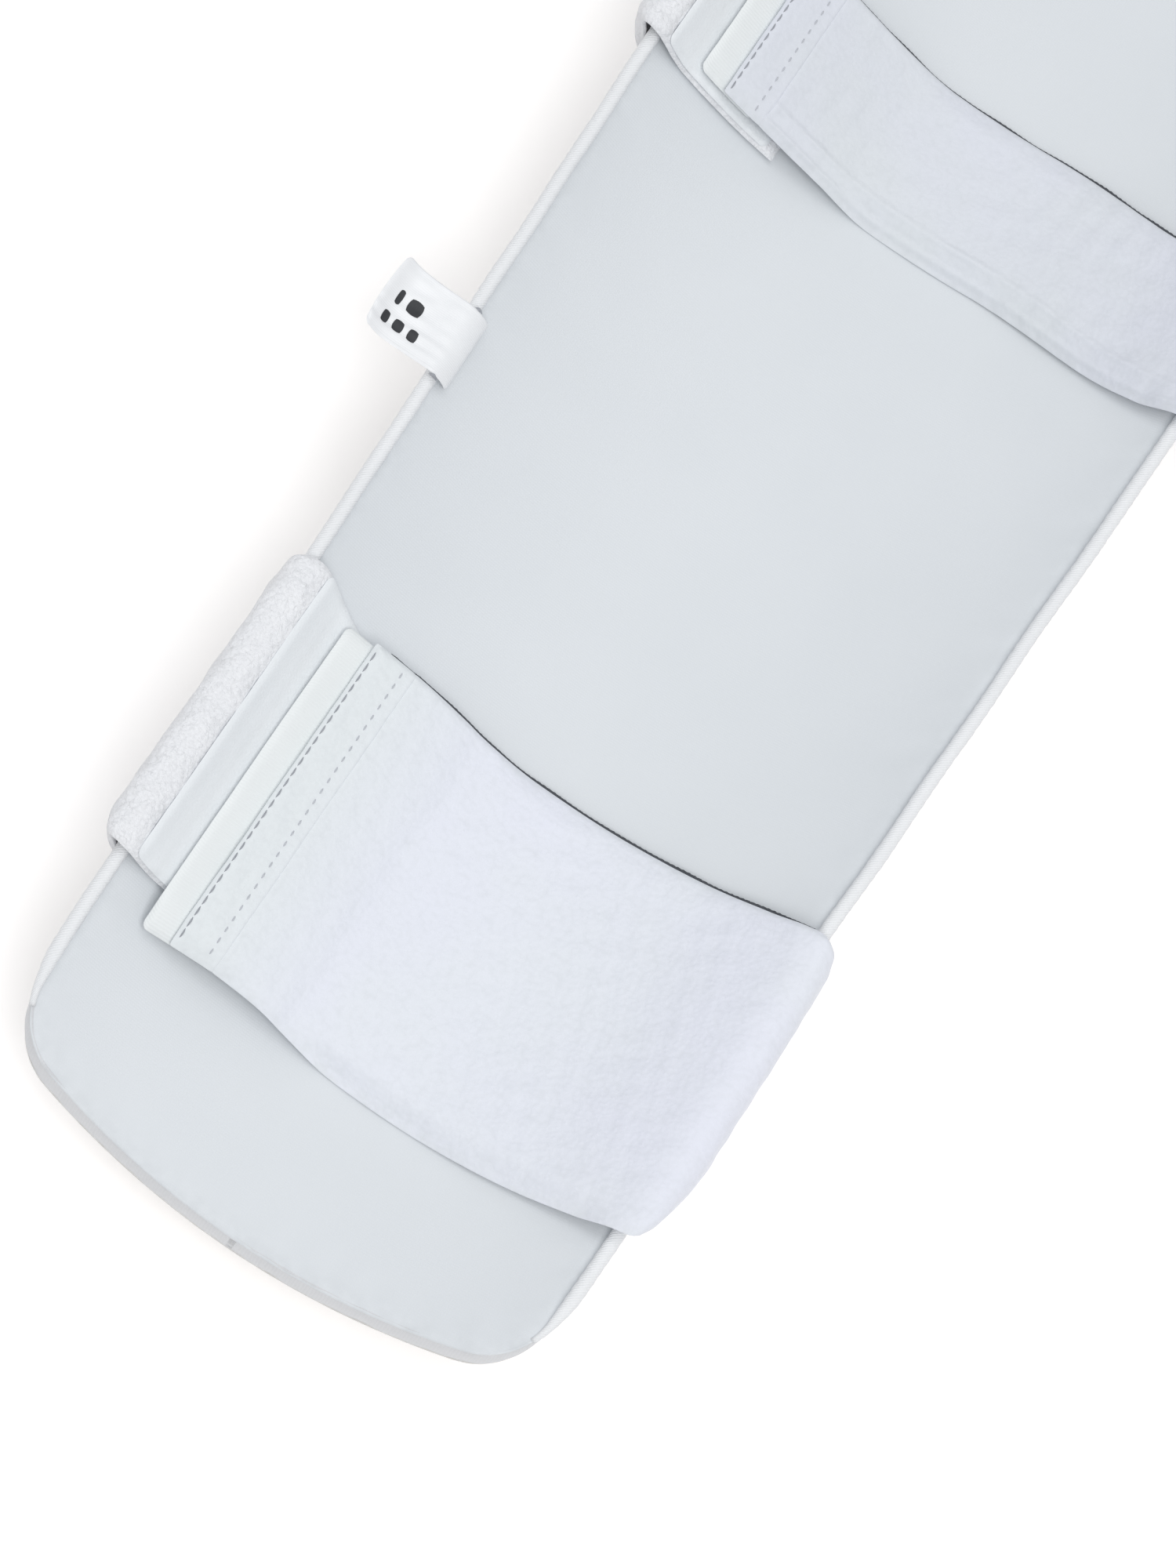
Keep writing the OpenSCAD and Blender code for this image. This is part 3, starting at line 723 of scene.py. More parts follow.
def side_piping(side, name):
    """Covered cord sewn along a side seam; it dives into the seam at both corners."""
    path = resampled(right_curves(-0.4)[1], 420)
    path = path[(path[:, 1] > BOTTOM_Y + 12) & (path[:, 1] < TOP_Y - 30)]
    along = distances(path)
    fade = ease(along / PIPING_FADE) * ease((along[-1] - along) / PIPING_FADE)
    wander = 0.12 * ripples(along, 0 * along, 34, 40 + side)
    x = side * (path[:, 0] + wander - 0.8 * (1 - fade))
    z = level(path - [0.4, 0], LEG_RADIUS)[:, 2] - PIPING_SINK - PIPING_DIVE * (1 - fade)
    gathers = 1 + 0.035 * np.cos(along * math.tau / 2.7) + 0.02 * ripples(along, 0 * along, 9, 50 + side)
    radii = PIPING_RADIUS * gathers * (0.45 + 0.55 * fade)
    piece = tube(name + "_cord", np.stack([x, path[:, 1], z], 1), radii, MATERIALS["piping"], sides=16)
    placed(piece, [name])


# ---- padded pieces on the front ----

CENTRE_WIDTH = 30
INNER_WIDTH = 18
OUTER_WIDTH = 16
BOLSTER_GAP = 1.5
PANEL_DEPTH = 8
PANEL_CHANNELS = (-30, 0, 30)
ROLL_MARGIN = 12
INSTEP_MARGIN = 16
PANEL_MARGIN = 8.5
END_GAP = 0.5
COVER_DEPTH = 1.5
FRONT_GAP = 0.15
CLOTH_FRAMES = 20
KNEE_ROLLS = ("lower_knee_roll", "middle_knee_roll", "upper_knee_roll")
INNER_OFFSET = CENTRE_WIDTH / 2 + BOLSTER_GAP + INNER_WIDTH / 2
OUTER_OFFSET = INNER_OFFSET + INNER_WIDTH / 2 + BOLSTER_GAP + OUTER_WIDTH / 2


def turned(points, offset):
    """Points turned round the leg's axis from the middle of the front to a distance round the front."""
    turn = offset / R_FRONT
    x, z = points[..., 0], points[..., 2] - AXIS_Z
    return np.stack([x * math.cos(turn) - z * math.sin(turn), points[..., 1],
                     x * math.sin(turn) + z * math.cos(turn) + AXIS_Z], -1)


def crown(u, sharpness):
    """1 in the middle and 0 at -1 and 1, with round shoulders."""
    return np.sqrt(np.clip(1 - np.abs(u) ** sharpness, 0, 1))


def bolster_grids(offset, width, low_y, high_y):
    """Outer and base grids of an upright bolster."""
    turn = np.linspace(-1, 1, 15)
    across = np.sin(turn * math.pi / 2) * 0.5 + turn * 0.5
    middle, reach, end_round = (low_y + high_y) / 2, (high_y - low_y) / 2, 11
    spots = np.linspace(-1, 1, 73)
    y = middle + np.sign(spots) * (1 - (1 - np.abs(spots)) ** 1.25) * reach
    beyond = np.clip((np.abs(y - middle) - (reach - end_round)) / end_round, 0, 1)
    x = across[None] * width / 2 * (1 - 0.14 * beyond ** 3)[:, None]
    y = np.broadcast_to(y[:, None], x.shape)
    base_z = AXIS_Z - np.sqrt((R_FRONT + FRONT_GAP) ** 2 - x ** 2)
    rise = crown(across, 2.8)[None] * crown(beyond, 2.4)[:, None]
    outer = np.stack([x, y, base_z * (1 - 0.95 * rise) - 0.25], -1)
    return turned(outer, offset), turned(np.stack([x * 0.97, y, base_z], -1), offset)


def roll_grids(node, margin):
    """Outer and base grids of a roll that bends round the front, in the place of a cover node."""
    middle, radius = middle_y(node), width_y(node) / 2
    reach = R_FRONT * math.asin((half_width(middle) - margin) / R_FRONT)
    spots = np.linspace(-1, 1, 49)
    s = (np.sin(spots * math.pi / 2) * 0.25 + spots * 0.75) * reach
    beyond = np.clip((np.abs(s) - (reach - 12)) / 12, 0, 1)
    turn = np.linspace(0, math.pi, 15)
    depth = np.sin(turn)[:, None] * crown(beyond, 2.3)[None] * radius * 0.93
    y = middle - np.cos(turn)[:, None] * radius * 0.97 * (1 - 0.10 * beyond ** 3)[None]
    angle = np.broadcast_to((s / R_FRONT)[None], depth.shape)

    def at(distance):
        return np.stack([distance * np.sin(angle), y, AXIS_Z - distance * np.cos(angle)], -1)

    return at(R_FRONT + 0.35 + depth), at(R_FRONT + FRONT_GAP + 0 * depth)


def panel_grids(low_y, margin):
    """Outer and base grids of the quilted panel above the knee rolls."""
    _, side, knee = right_curves(margin)
    side = side[side[:, 1] > low_y + 1]
    start = np.array([side[0, 0], low_y])
    low_edge = np.stack([np.linspace(0, start[0] - 2, 20), np.full(20, low_y)], 1)
    plan = coons_grid(np.vstack([low_edge, start]), np.vstack([start, side]), knee, 45, 23)
    rows, columns = plan.shape[:2]
    rise = crown(np.linspace(-1, 1, columns)[None], 9) * crown(np.linspace(-1, 1, rows)[:, None], 4)
    channels = [np.exp(-((plan[..., 0] - place) / 2.6) ** 2) for place in PANEL_CHANNELS]
    outer = level(plan, R_FRONT + 0.35)
    outer[..., 2] -= PANEL_DEPTH * 0.93 * rise * (1 - 0.62 * np.max(channels, axis=0))
    return outer, level(plan, R_FRONT + FRONT_GAP)


def blow_up(forms):
    """Cloth simulation of all the padded covers at once, each pinned where it is sewn down."""
    scene = bpy.context.scene
    cover_cloth = {
        "quality": 6, "mass": 0.2, "tension_stiffness": 18, "compression_stiffness": 12, "shear_stiffness": 6,
        "bending_stiffness": 0.05, "air_damping": 2.0, "use_pressure": True, "uniform_pressure_force": 4.0,
        "shrink_min": -0.035, "vertex_group_mass": "sewn",
    }
    shells = []
    for form in forms:
        rows, columns = form["outer"].shape[:2]
        size = rows * columns
        rim, _ = rim_indices(rows, columns)
        faces = grid_faces(rows, columns) + grid_faces(rows, columns, size, flip=True)
        faces += ring_faces(rim, [size + n for n in rim])
        points = np.vstack([form["outer"].reshape(-1, 3), form["base"].reshape(-1, 3)])
        shell = make_mesh("shell_" + form["name"], points, faces, MATERIALS["facing"])
        pins = shell.vertex_groups.new(name="sewn")
        pins.add(list(range(size, 2 * size)) + rim, 1.0, "REPLACE")
        simulation = shell.modifiers.new("cover", "CLOTH")
        for key, value in cover_cloth.items():
            setattr(simulation.settings, key, value)
        simulation.settings.effector_weights.gravity = 0
        simulation.point_cache.frame_start = 1
        simulation.point_cache.frame_end = CLOTH_FRAMES
        shells.append(shell)
    for number in range(1, CLOTH_FRAMES + 1):
        scene.frame_set(number)
    depsgraph = bpy.context.evaluated_depsgraph_get()
    for form, shell in zip(forms, shells):
        start = form["outer"].reshape(-1, 3)
        result = shell.evaluated_get(depsgraph).to_mesh()
        shift = np.array([v.co for v in result.vertices], float)[:len(start)] / MM - start
        length = np.linalg.norm(shift, axis=1, keepdims=True)
        shift = shift * np.minimum(1, form["growth"] / np.maximum(length, 1e-6))
        form["outer"] = (start + shift).reshape(form["outer"].shape)
        bpy.data.objects.remove(shell)
    scene.frame_set(1)


def axis_distance(points):
    return np.hypot(points[..., 0], points[..., 2] - AXIS_Z)


def radial(points):
    """Unit vectors from the leg's axis through each point."""
    return unit((points - [0, 0, AXIS_Z]) * [1, 0, 1])


def padded_pieces(form):
    """Cover and foam pieces of a padded form."""
    name, outer, base = form["name"], form["outer"], form["base"]
    rows, columns = outer.shape[:2]
    u, v = np.meshgrid(np.linspace(-1, 1, columns), np.linspace(-1, 1, rows))
    seam = np.maximum(np.exp(-(1 - np.abs(u)) * columns / 3.0), np.exp(-(1 - np.abs(v)) * rows / 3.0))
    x, y, z = outer[..., 0], outer[..., 1], outer[..., 2]
    gather = 0.22 * seam * ripples(y + x, z * 0.3, 6.5, len(name))
    soft = 0.18 * ripples(x, y, 24, 2 * len(name)) * (1 - seam)
    outer = outer + radial(outer) * (gather + soft)[..., None]
    outer[..., 2] = np.maximum(outer[..., 2], 0.12)
    worn = np.clip((1 - (outer[..., 2] / 9)) * 0.5, 0, 1) * (1 - seam) + 0.35 * seam
    cover = layer(name + "_cover_skin", outer, base, MATERIALS["facing"], worn=worn, bulge=0.1, levels=1)
    placed(cover, [name + "_cover"])
    inner = base + radial(base) * 0.3
    core = inner + (outer - radial(outer) * COVER_DEPTH - inner) * 0.94
    thick = axis_distance(core) - axis_distance(inner) > 0.3
    core = np.where(thick[..., None], core, inner + radial(inner) * 0.3)
    foam = layer(name + "_foam_core", core[1:-1, 1:-1], inner[1:-1, 1:-1], MATERIALS[form["foam"]])
    placed(foam, [name + "_foam"])


def front_pads():
    """Bolsters, knee rolls, instep roll and top panel."""
    low, high = box_mm("centre_bolster_cover")
    forms = []

    def form(name, grids, foam, growth):
        forms.append({"name": name, "outer": grids[0], "base": grids[1], "foam": foam, "growth": growth})

    for name, offset, width in (("centre", 0, CENTRE_WIDTH),
                                ("inner_left", -INNER_OFFSET, INNER_WIDTH),
                                ("inner_right", INNER_OFFSET, INNER_WIDTH),
                                ("outer_left", -OUTER_OFFSET, OUTER_WIDTH),
                                ("outer_right", OUTER_OFFSET, OUTER_WIDTH)):
        grids = bolster_grids(offset, width - 0.8, low[1] + END_GAP, high[1] - END_GAP)
        form(name + "_bolster", grids, "firm_foam", 1.2)
    for name in KNEE_ROLLS:
        form(name, roll_grids(name + "_cover", ROLL_MARGIN), "soft_foam", 1.4)
    form("instep_roll", roll_grids("instep_roll_cover", INSTEP_MARGIN), "soft_foam", 1.0)
    panel_low = box_mm("top_panel_cover")[0][1] + END_GAP
    form("top_panel", panel_grids(panel_low, PANEL_MARGIN), "soft_foam", 1.2)
    blow_up(forms)
    for padded in forms:
        padded_pieces(padded)


def front_stitching():
    """Thread rows between the bolsters and beside the rolls."""
    low, high = box_mm("centre_bolster_cover")
    rows = []

    def row(x, y):
        path = level(np.stack(np.broadcast_arrays(x, y), 1), R_FACING + 0.12)
        rows.append(stitch_row(path, radial(path)))

    first_gap = CENTRE_WIDTH / 2 + BOLSTER_GAP / 2
    second_gap = INNER_OFFSET + INNER_WIDTH / 2 + BOLSTER_GAP / 2
    last_edge = OUTER_OFFSET + OUTER_WIDTH / 2 + BOLSTER_GAP / 2 + 0.3
    for offset in (first_gap, second_gap, last_edge):
        for side in (-1, 1):
            row(R_FACING * math.sin(side * offset / R_FACING), np.linspace(low[1] + 4, high[1] - 4, 60))
    for name, margin in [(roll, ROLL_MARGIN) for roll in KNEE_ROLLS] + [("instep_roll", INSTEP_MARGIN)]:
        middle = middle_y(name + "_cover")
        reach = half_width(middle) - margin - 3
        for side in (-1, 1):
            row(np.linspace(-reach, reach, 60), middle + side * (width_y(name + "_cover") / 2 + 0.9))
    placed(thread_rows("front_stitching", rows, MATERIALS["thread"]))


# ---- straps ----

def on_radius(radius, x):
    """A point of the trough, [x, z], at that radius from the leg's axis."""
    return [x, AXIS_Z - math.sqrt(radius * radius - x * x)]


SEWN_GAP = 0.2
CLOSING_GAP = 0.4
LOOP_HEIGHT = 0.3 + WRAP_THICKNESS + SEWN_GAP + TAPE_THICKNESS / 2
HOOK_HEIGHT = LOOP_HEIGHT + CLOSING_GAP + TAPE_THICKNESS
TAB_HEIGHT = HOOK_HEIGHT + (TAPE_THICKNESS + WRAP_THICKNESS) / 2 + 0.1
TAB_START = 28
TAB_END = 18.8
STRAP_LIFT = 3
STRAP_STEP = 1.1
STRAP_COLUMNS = 57
TAB_OVERLAP = 0.5
KNEE_SIDE_DROP = 1.25
ANKLE_SIDE_DROP = 2.75
CLOSING_END_DROP = 2.6
EDGE_PULL = 1.2
THIN_SHARE = 0.32
TAPE_STEP = 0.9


def strap_path(w):
    """Middle of a strap from its sewn end on the front, round the right edge, to its closing end."""
    low = on_radius(R_FACING, w)[1]
    high = on_radius(LEG_RADIUS, w)[1]
    front = R_FRONT + 0.2 + STRAP_THICKNESS / 2
    slack = LEG_RADIUS - STRAP_LIFT
    return smooth_curve([
        on_radius(front, w - 9),
        on_radius(front + 1, w - 1.5),
        [w + 6, low + 3],
        [w + 7.4, (low + high) / 2 + 1],
        [w + 5.6, high + 3.6],
        [w + 0.5, high + 5.4],
        on_radius(slack - 1.8, w - 9),
        on_radius(slack - 0.6, w - 24),
        on_radius(slack, 0.3 * w),
        on_radius(slack, 0),
        on_radius(slack, -0.22 * w),
        on_radius(slack - 1.8, -(w - 42)),
        on_radius(LEG_RADIUS - TAB_HEIGHT, -(w - TAB_START - 0.4)),
    ])


def landing_path(w):
    """Middle of a landing wrap, from the front round the left edge and over the lining."""
    low = on_radius(R_FACING, w)[1]
    high = on_radius(LEG_RADIUS, w)[1]
    front = R_FRONT + 0.2 + WRAP_THICKNESS / 2
    rest = LEG_RADIUS - 0.3 - WRAP_THICKNESS / 2
    return smooth_curve([
        on_radius(front, -(w - 9)),
        on_radius(front + 1, -(w - 1.5)),
        [-(w + 4.6), low + 3],
        [-(w + 5.8), (low + high) / 2 + 1],
        [-(w + 4.8), high + 3.3],
        [-(w - 0.6), high + 4.3],
        on_radius(rest - 0.7, -(w - 6)),
        on_radius(rest, -(w - 10.5)),
        on_radius(rest, -(w - 24)),
        on_radius(rest, -(w - 35)),
    ])


def lining_run(height, start, end, count=24):
    return np.array([on_radius(LEG_RADIUS - height, x) for x in np.linspace(start, end, count)])


def band(name, path, middle, width, thickness, material, step=STRAP_STEP, columns=45, hem=0.0, lumps=0.0,
         waves=0.0, seed=1, shape=None, skew=None, end_round=(True, True), worn=0.5, corner=0.0, start=0.0,
         hem_rows=(), thin_side=0.0):
    """A flat strip of cloth swept along a path of [x, z] points, closed, with rounded edges and hems.

    shape gives offsets of the strip from its plain sweep and skew moves it along the leg, start is the cloth
    length before this strip, hem_rows holds places and heights of ridges from the ankle-side edge,
    thin_side is how far from that edge the strip gets thinner, and corner is the radius of its corners.
    Returns the piece and its upper grid.
    """
    path = resampled(path, max(6, int(round(distances(path)[-1] / step))))
    normals = path_normals(path) * np.sign(path[-1, 0] - path[-2, 0])
    along = distances(path)
    turn = np.linspace(-1, 1, columns)
    c, s = np.meshgrid((np.sin(turn * math.pi / 2) * 0.35 + turn * 0.65) * width / 2, along)
    edge = width / 2 - np.abs(c)
    from_ankle_side = c + width / 2
    ends = np.minimum(s if end_round[0] else 99, (along[-1] - s) if end_round[1] else 99)
    half = np.full(s.shape, thickness / 2)
    for away in (edge, ends):
        sharpness = np.clip(1 - away / (thickness * 0.55), 0, 1)
        half = half * np.sqrt(np.clip(1 - sharpness ** 2, 0.02, 1))
    flow = s + start
    if hem:
        lumpy = 0.7 + 0.5 * ripples(flow, 0 * flow, 5.5, seed + 3) * np.exp(-edge / 4)
        half = half + hem * np.exp(-((edge - 1.7) / 1.3) ** 2) * lumpy
    if thin_side:
        half = half * (THIN_SHARE + (1 - THIN_SHARE) * ease(from_ankle_side / thin_side))
    for row, height in hem_rows:
        uneven = 0.75 + 0.25 * ripples(flow, 0 * flow, 18, seed + 5)
        half = half + height * np.exp(-((from_ankle_side - row) / 0.55) ** 2) * uneven
    bumps = lumps * ripples(flow, c, 6.5, seed) + waves * ripples(flow * 0.6, c, 34, seed + 1)
    bumps = bumps * ease(edge / 2.5 + 0.35)
    spots = np.stack(np.broadcast_arrays(path[:, :1], middle + c, path[:, 1:]), -1)
    if corner:
        tip = np.clip(1 - ends / corner, 0, 1)
        spots[..., 1] -= c * (1 - np.sqrt(1 - tip ** 2)) * corner / (width / 2)
    if shape is not None:
        spots = spots + shape(s, c, spots[..., 0])
    if skew is not None:
        spots[..., 1] += skew(spots[..., 0], c)
    normal = np.stack([normals[:, 0], 0 * along, normals[:, 1]], -1)[:, None]
    upper = spots + normal * (half + bumps)[..., None]
    lower = spots - normal * (half - 0.8 * bumps)[..., None]
    piece = layer(name, upper, lower, material, np.stack([c, flow, 0 * flow], -1),
                  worn * np.exp(-(edge / 1.6) ** 2), rim_rings=1, bulge=0.1, levels=1)
    return piece, upper


def edge_fold(width, fold_end, corners, outward):
    """Offsets of a strip where it folds over the pad's edge: full in the middle, and tight at its corners.

    corners holds, for the ankle side and the knee side, how wide the corner is, how far it is pulled in
    towards the pad and how much the strip narrows there.
    """
    def offsets(s, c, x):
        share = np.sin(np.clip(s / fold_end, 0, 1) * math.pi) ** 1.3
        move = np.stack([-outward * share * EDGE_PULL, 0 * s, 0 * s], -1)
        for side, (reach, corner_pull, narrowing) in zip((-1, 1), corners):
            tight = np.clip((side * c - (width / 2 - reach)) / reach, 0, 1) ** 2 * share
            move += np.stack([-outward * corner_pull * tight, -side * narrowing * tight, 0.5 * tight], -1)
        return move
    return offsets


def strap(name, finish_name, seed, sway, flare, corners, hem_rows):
    """A whole strap: band with its sewn end, closing end, hook tape, loop tape and landing wrap.

    sway moves the strap along the leg and flare widens it, for a share of the way across the back.
    """
    band_node = name + "_strap_band"
    body, tab_body = name + "_strap", name + "_tab"
    middle, width = middle_y(band_node), width_y(band_node)
    w = half_width(middle)
    path = strap_path(w)
    length = distances(path)[-1]
    fold_end = distances(path)[HINGE_STEP * CURVE_STEPS]
    fold = edge_fold(width, fold_end, corners, 1)
    low_end = middle_y(name + "_landing_wrap") - width_y(name + "_landing_wrap") / 2
    knit = {"hem": 0.16, "lumps": 0.11, "waves": 0.26, "seed": seed, "columns": STRAP_COLUMNS,
            "thin_side": 5.0}

    def sways(x, c):
        share = np.clip((w - x) / (2 * w), 0, 1)
        return sway(x, w) + flare(share) * c / width * 2

    def hangs(s, c, x):
        """Past the ankle side of the landing wrap, the closing end hangs down to the lining."""
        past = ease((low_end - 1.5 - (middle + c + sways(x, c))) / 9)
        return np.stack([0 * x, 0 * x, -CLOSING_END_DROP * past * ease((-x - 20) / 12)], -1)

    def lies_down(s, c, x):
        """The long edges hang down towards the lining, away from the closing end."""
        over = ease((s - fold_end - 4) / 8) * ease((x + w - 46) / 14)
        knee_side = ease((c - (width / 2 - 5)) / 5)
        ankle_side = ease((-c - (width / 2 - 6)) / 6)
        drop = over * (KNEE_SIDE_DROP * knee_side + ANKLE_SIDE_DROP * ankle_side)
        return fold(s, c, x) + np.stack([-drop * 0.5 * x / LEG_RADIUS, 0 * s, -drop], -1) + hangs(s, c, x)

    main, upper = band(name + "_strap_cloth", path, middle, width, STRAP_THICKNESS - 0.2,
                       MATERIALS[finish_name], shape=lies_down, skew=sways, end_round=(True, False),
                       hem_rows=hem_rows, **knit)
    placed(main, [name + "_strap_anchor", band_node], "pad", body)

    tab_path = lining_run(TAB_HEIGHT, path[-1][0] + TAB_OVERLAP, -(w - TAB_END))
    tab, tab_upper = band(name + "_strap_closing_end", tab_path, middle, width, STRAP_THICKNESS - 0.2,
                          MATERIALS[finish_name], step=0.8, shape=hangs, skew=sways,
                          end_round=(False, True), start=length - TAB_OVERLAP, **knit)
    placed(tab, [name + "_strap_tab"], body, tab_body)

    hook_path = lining_run(HOOK_HEIGHT, -(w - TAB_START + 1.2), -(w - 12))
    hook, _ = band(name + "_hook_strip", hook_path, middle, width - 1, TAPE_THICKNESS - 0.1,
                   MATERIALS["hook_tape"], step=TAPE_STEP, hem=0.04, lumps=0.03, waves=0.12, seed=seed + 20,
                   shape=hangs, skew=sways, corner=1.0)
    placed(hook, [name + "_hook_tape"], tab_body)

    landing(name, w, width / 15)

    # Each row of stitches: name, thread, distance from the closing end's edge and stitch length.
    # The hem row is real stitching on the step at the closing end's edge; its dark, close stitches also paint
    # that step's shade.
    for row, tone, inset, size in (("hem", "seam_and_shadow_thread", 0.9, 2.3), ("inner", "faint_thread", 7.6, 1.7)):
        stitches = closing_stitches(tab_upper, inset - (w - TAB_END), size)
        piece = thread_rows(name + "_strap_stitching_" + row, [stitches], MATERIALS[tone])
        placed(piece, (), body, tab_body)
    # painted shadow lines under the knee-side edges of the band and of the closing end
    edge = knee_side_shadow_line(name + "_strap_edge_thread", upper[int(fold_end / STRAP_STEP):], (-w, w - 1.6))
    placed(edge, (), "pad", body)
    tab_edge = knee_side_shadow_line(name + "_tab_edge_thread", tab_upper, (3.5 - (w - TAB_END), w))
    placed(tab_edge, (), body, tab_body)


def knee_side_shadow_line(name, surface, span):
    """Painted shadow: a near-black rod in the shade under a strap's knee-side edge, over a span of x; it
    swells to the right.
    """
    line = surface[:, -1]
    line = line[(line[:, 0] > span[0]) & (line[:, 0] < span[1])]
    line = resampled(line, int(distances(line)[-1] / 0.45))
    along = distances(line)
    right = ease((line[:, 0] + 40) / 90)
    ends = np.minimum(ease(along / 12), ease((along[-1] - along) / 2)) * 0.6 + 0.4
    radii = (0.36 + 0.30 * right) * ends * (1 + 0.12 * np.cos(along * math.tau / 1.3))
    radii = radii * (1 + 0.15 * ripples(along, 0 * along, 16, len(name)))
    line = line + [0, 0.30, 0] + radial(line) * (0.95 + 0.2 * right)[:, None]
    return tube(name, line, radii, MATERIALS["shadow_line_thread"], sides=8)


def closing_stitches(surface, x, length):
    """A row of stitches across the closing end at that x, on its upper side."""
    path = []
    for column in range(2, surface.shape[1] - 2):
        line = surface[np.argsort(surface[:, column, 0]), column]
        path.append([x] + [np.interp(x, line[:, 0], line[:, k]) for k in (1, 2)])
    path = np.array(path)
    return stitch_row(path, -radial(path), pitch=2.7, length=length, radius=0.19, sink=0.03)


def landing(name, w, taper):
    """The towelling wrap round the left edge and the loop tape on it."""
    node = name + "_landing_wrap"
    middle, width = middle_y(node), width_y(node)
    path = landing_path(w)
    fold_point = HINGE_STEP * CURVE_STEPS
    reach = min(8, width / 4)
    fold = edge_fold(width, distances(path)[fold_point], ((reach, 3.2, 2.0), (reach, 2.6, 2.0)), -1)

    def tapers(x, c):
        """The knee side runs in towards the closing end."""
        return -taper * ease((x + w - 2) / 16) * np.clip(c / width + 0.5, 0, 1) ** 2

    wrap, _ = band(name + "_landing_towelling", path, middle, width, WRAP_THICKNESS - 0.3,
                   MATERIALS["towelling"], step=TAPE_STEP, hem=0.12, lumps=0.20, waves=0.12,
                   seed=len(name) + 60, shape=fold, skew=tapers, columns=61 if width > 50 else 35)
    placed(wrap, [node])
    raised = path + path_normals(path) * ((WRAP_THICKNESS + TAPE_THICKNESS) / 2 - 0.4)
    raised = raised[fold_point + 5:-5]
    tape, _ = band(name + "_loop_strip", raised, middle, width - 1, TAPE_THICKNESS - 0.1,
                   MATERIALS["loop_tape"], step=TAPE_STEP, lumps=0.03, waves=0.05, seed=len(name) + 70,
                   skew=tapers, corner=1.0)
    placed(tape, [name + "_loop_tape"])


def profile(share, *values):
    """A smooth value for each share from 0 to 1, through evenly spread values."""
    curve = smooth_curve([[k / (len(values) - 1), value] for k, value in enumerate(values)])
    return np.interp(share, curve[:, 0], curve[:, 1])


def ankle_sway(x, w):
    """The wide strap hangs towards the ankle in the middle, and its closing end lies straighter."""
    share = np.clip((w - x) / (2 * w), 0, 1)
    return profile(share, -1.8, -2.8, -2.3, -0.4, -3.2)


def ankle_flare(share):
    return profile(share, -0.6, 0.15, 0.15, -0.4, 1.2)


def knee_sway(x, w):
    """The narrow strap leaves the right edge nearer the ankle and soon runs straight."""
    return 3.4 - 8.0 * ease((x - 16) / (w - 16))


def knee_flare(share):
    return 0.3 * ease((share - 0.675) / 0.15)


# ---- side label ----

LABEL_REACH = 18
LABEL_THICKNESS = 0.9


def side_label():
    """Folded satin ribbon that leaves the seam, goes over the piping and curls up at its tip."""
    middle, width = middle_y("side_label") - 1.1, width_y("side_label")
    w = half_width(middle)
    edge = on_radius(LEG_RADIUS, w)[1]
    path = smooth_curve([
        [-(w - 3.4), edge - 1.6],
        [-(w - 3.2), edge + 0.3],
        [-(w - 1.2), edge + 2.6],
        [-(w + 1.6), edge + 3.7],
        [-(w + LABEL_REACH * 0.45), edge + 3.4],
        [-(w + LABEL_REACH * 0.78), edge + 4.2],
        [-(w + LABEL_REACH), edge + 6.8],
    ])
    length = distances(path)[-1]

    def curled(s, c, x):
        share = ease(s / length)
        pleats = 0.16 * ease((s - 5) / 5) * ripples(s * 0.25, c, 2.4, 91)
        return np.stack([2.2 * share * (c / width) ** 2, 0 * s,
                         2.6 * share * (c / width + 0.2) ** 2 + pleats], -1)

    ribbon, upper = band("side_label_ribbon", path, middle, width, LABEL_THICKNESS - 0.15, MATERIALS["label"],
                         step=0.7, columns=41, hem=0.05, lumps=0.02, waves=0.25, seed=90, shape=curled,
                         worn=0.2, corner=0.8)
    placed(ribbon, ["side_label_root", "side_label"], "pad", "side_label")
    # the tacks at the root are painted shadow
    for extra in (label_marks(upper), label_shadow_tacks(upper)):
        placed(extra, (), "pad", "side_label")


def label_marks(surface):
    """Generic printed blocks in two rows along the ribbon; they spell nothing."""
    rows, columns = surface.shape[:2]
    normal = unit(np.cross(np.gradient(surface, axis=0), np.gradient(surface, axis=1)))
    normal *= np.where(normal[..., 2:] < 0, -1, 1)
    # Each block: its middle and height across the ribbon, then its start and length along it, as shares.
    blocks = [(0.27, 0.15, 0.52, 0.09), (0.27, 0.15, 0.66, 0.10), (0.27, 0.15, 0.81, 0.08),
              (0.54, 0.17, 0.60, 0.14), (0.54, 0.17, 0.80, 0.06)]
    v, u = np.meshgrid(np.linspace(-1, 1, 6), np.linspace(-1, 1, 6))
    points, faces = [], []
    for place, tall, begin, long in blocks:
        across = (place + tall / 2 * u * np.sqrt(1 - 0.32 * v * v)).ravel() * (columns - 1)
        down = (begin + long / 2 + long / 2 * v * np.sqrt(1 - 0.32 * u * u)).ravel() * (rows - 1)
        i, j = down.astype(int), across.astype(int)
        fi, fj = (down - i)[:, None], (across - j)[:, None]
        spots = ((surface[i, j] * (1 - fj) + surface[i, j + 1] * fj) * (1 - fi)
                 + (surface[i + 1, j] * (1 - fj) + surface[i + 1, j + 1] * fj) * fi)
        faces += grid_faces(6, 6, 36 * len(points))
        points.append(spots + normal[i, j] * 0.07)
    return make_mesh("side_label_marks", np.vstack(points), faces, MATERIALS["ink"])


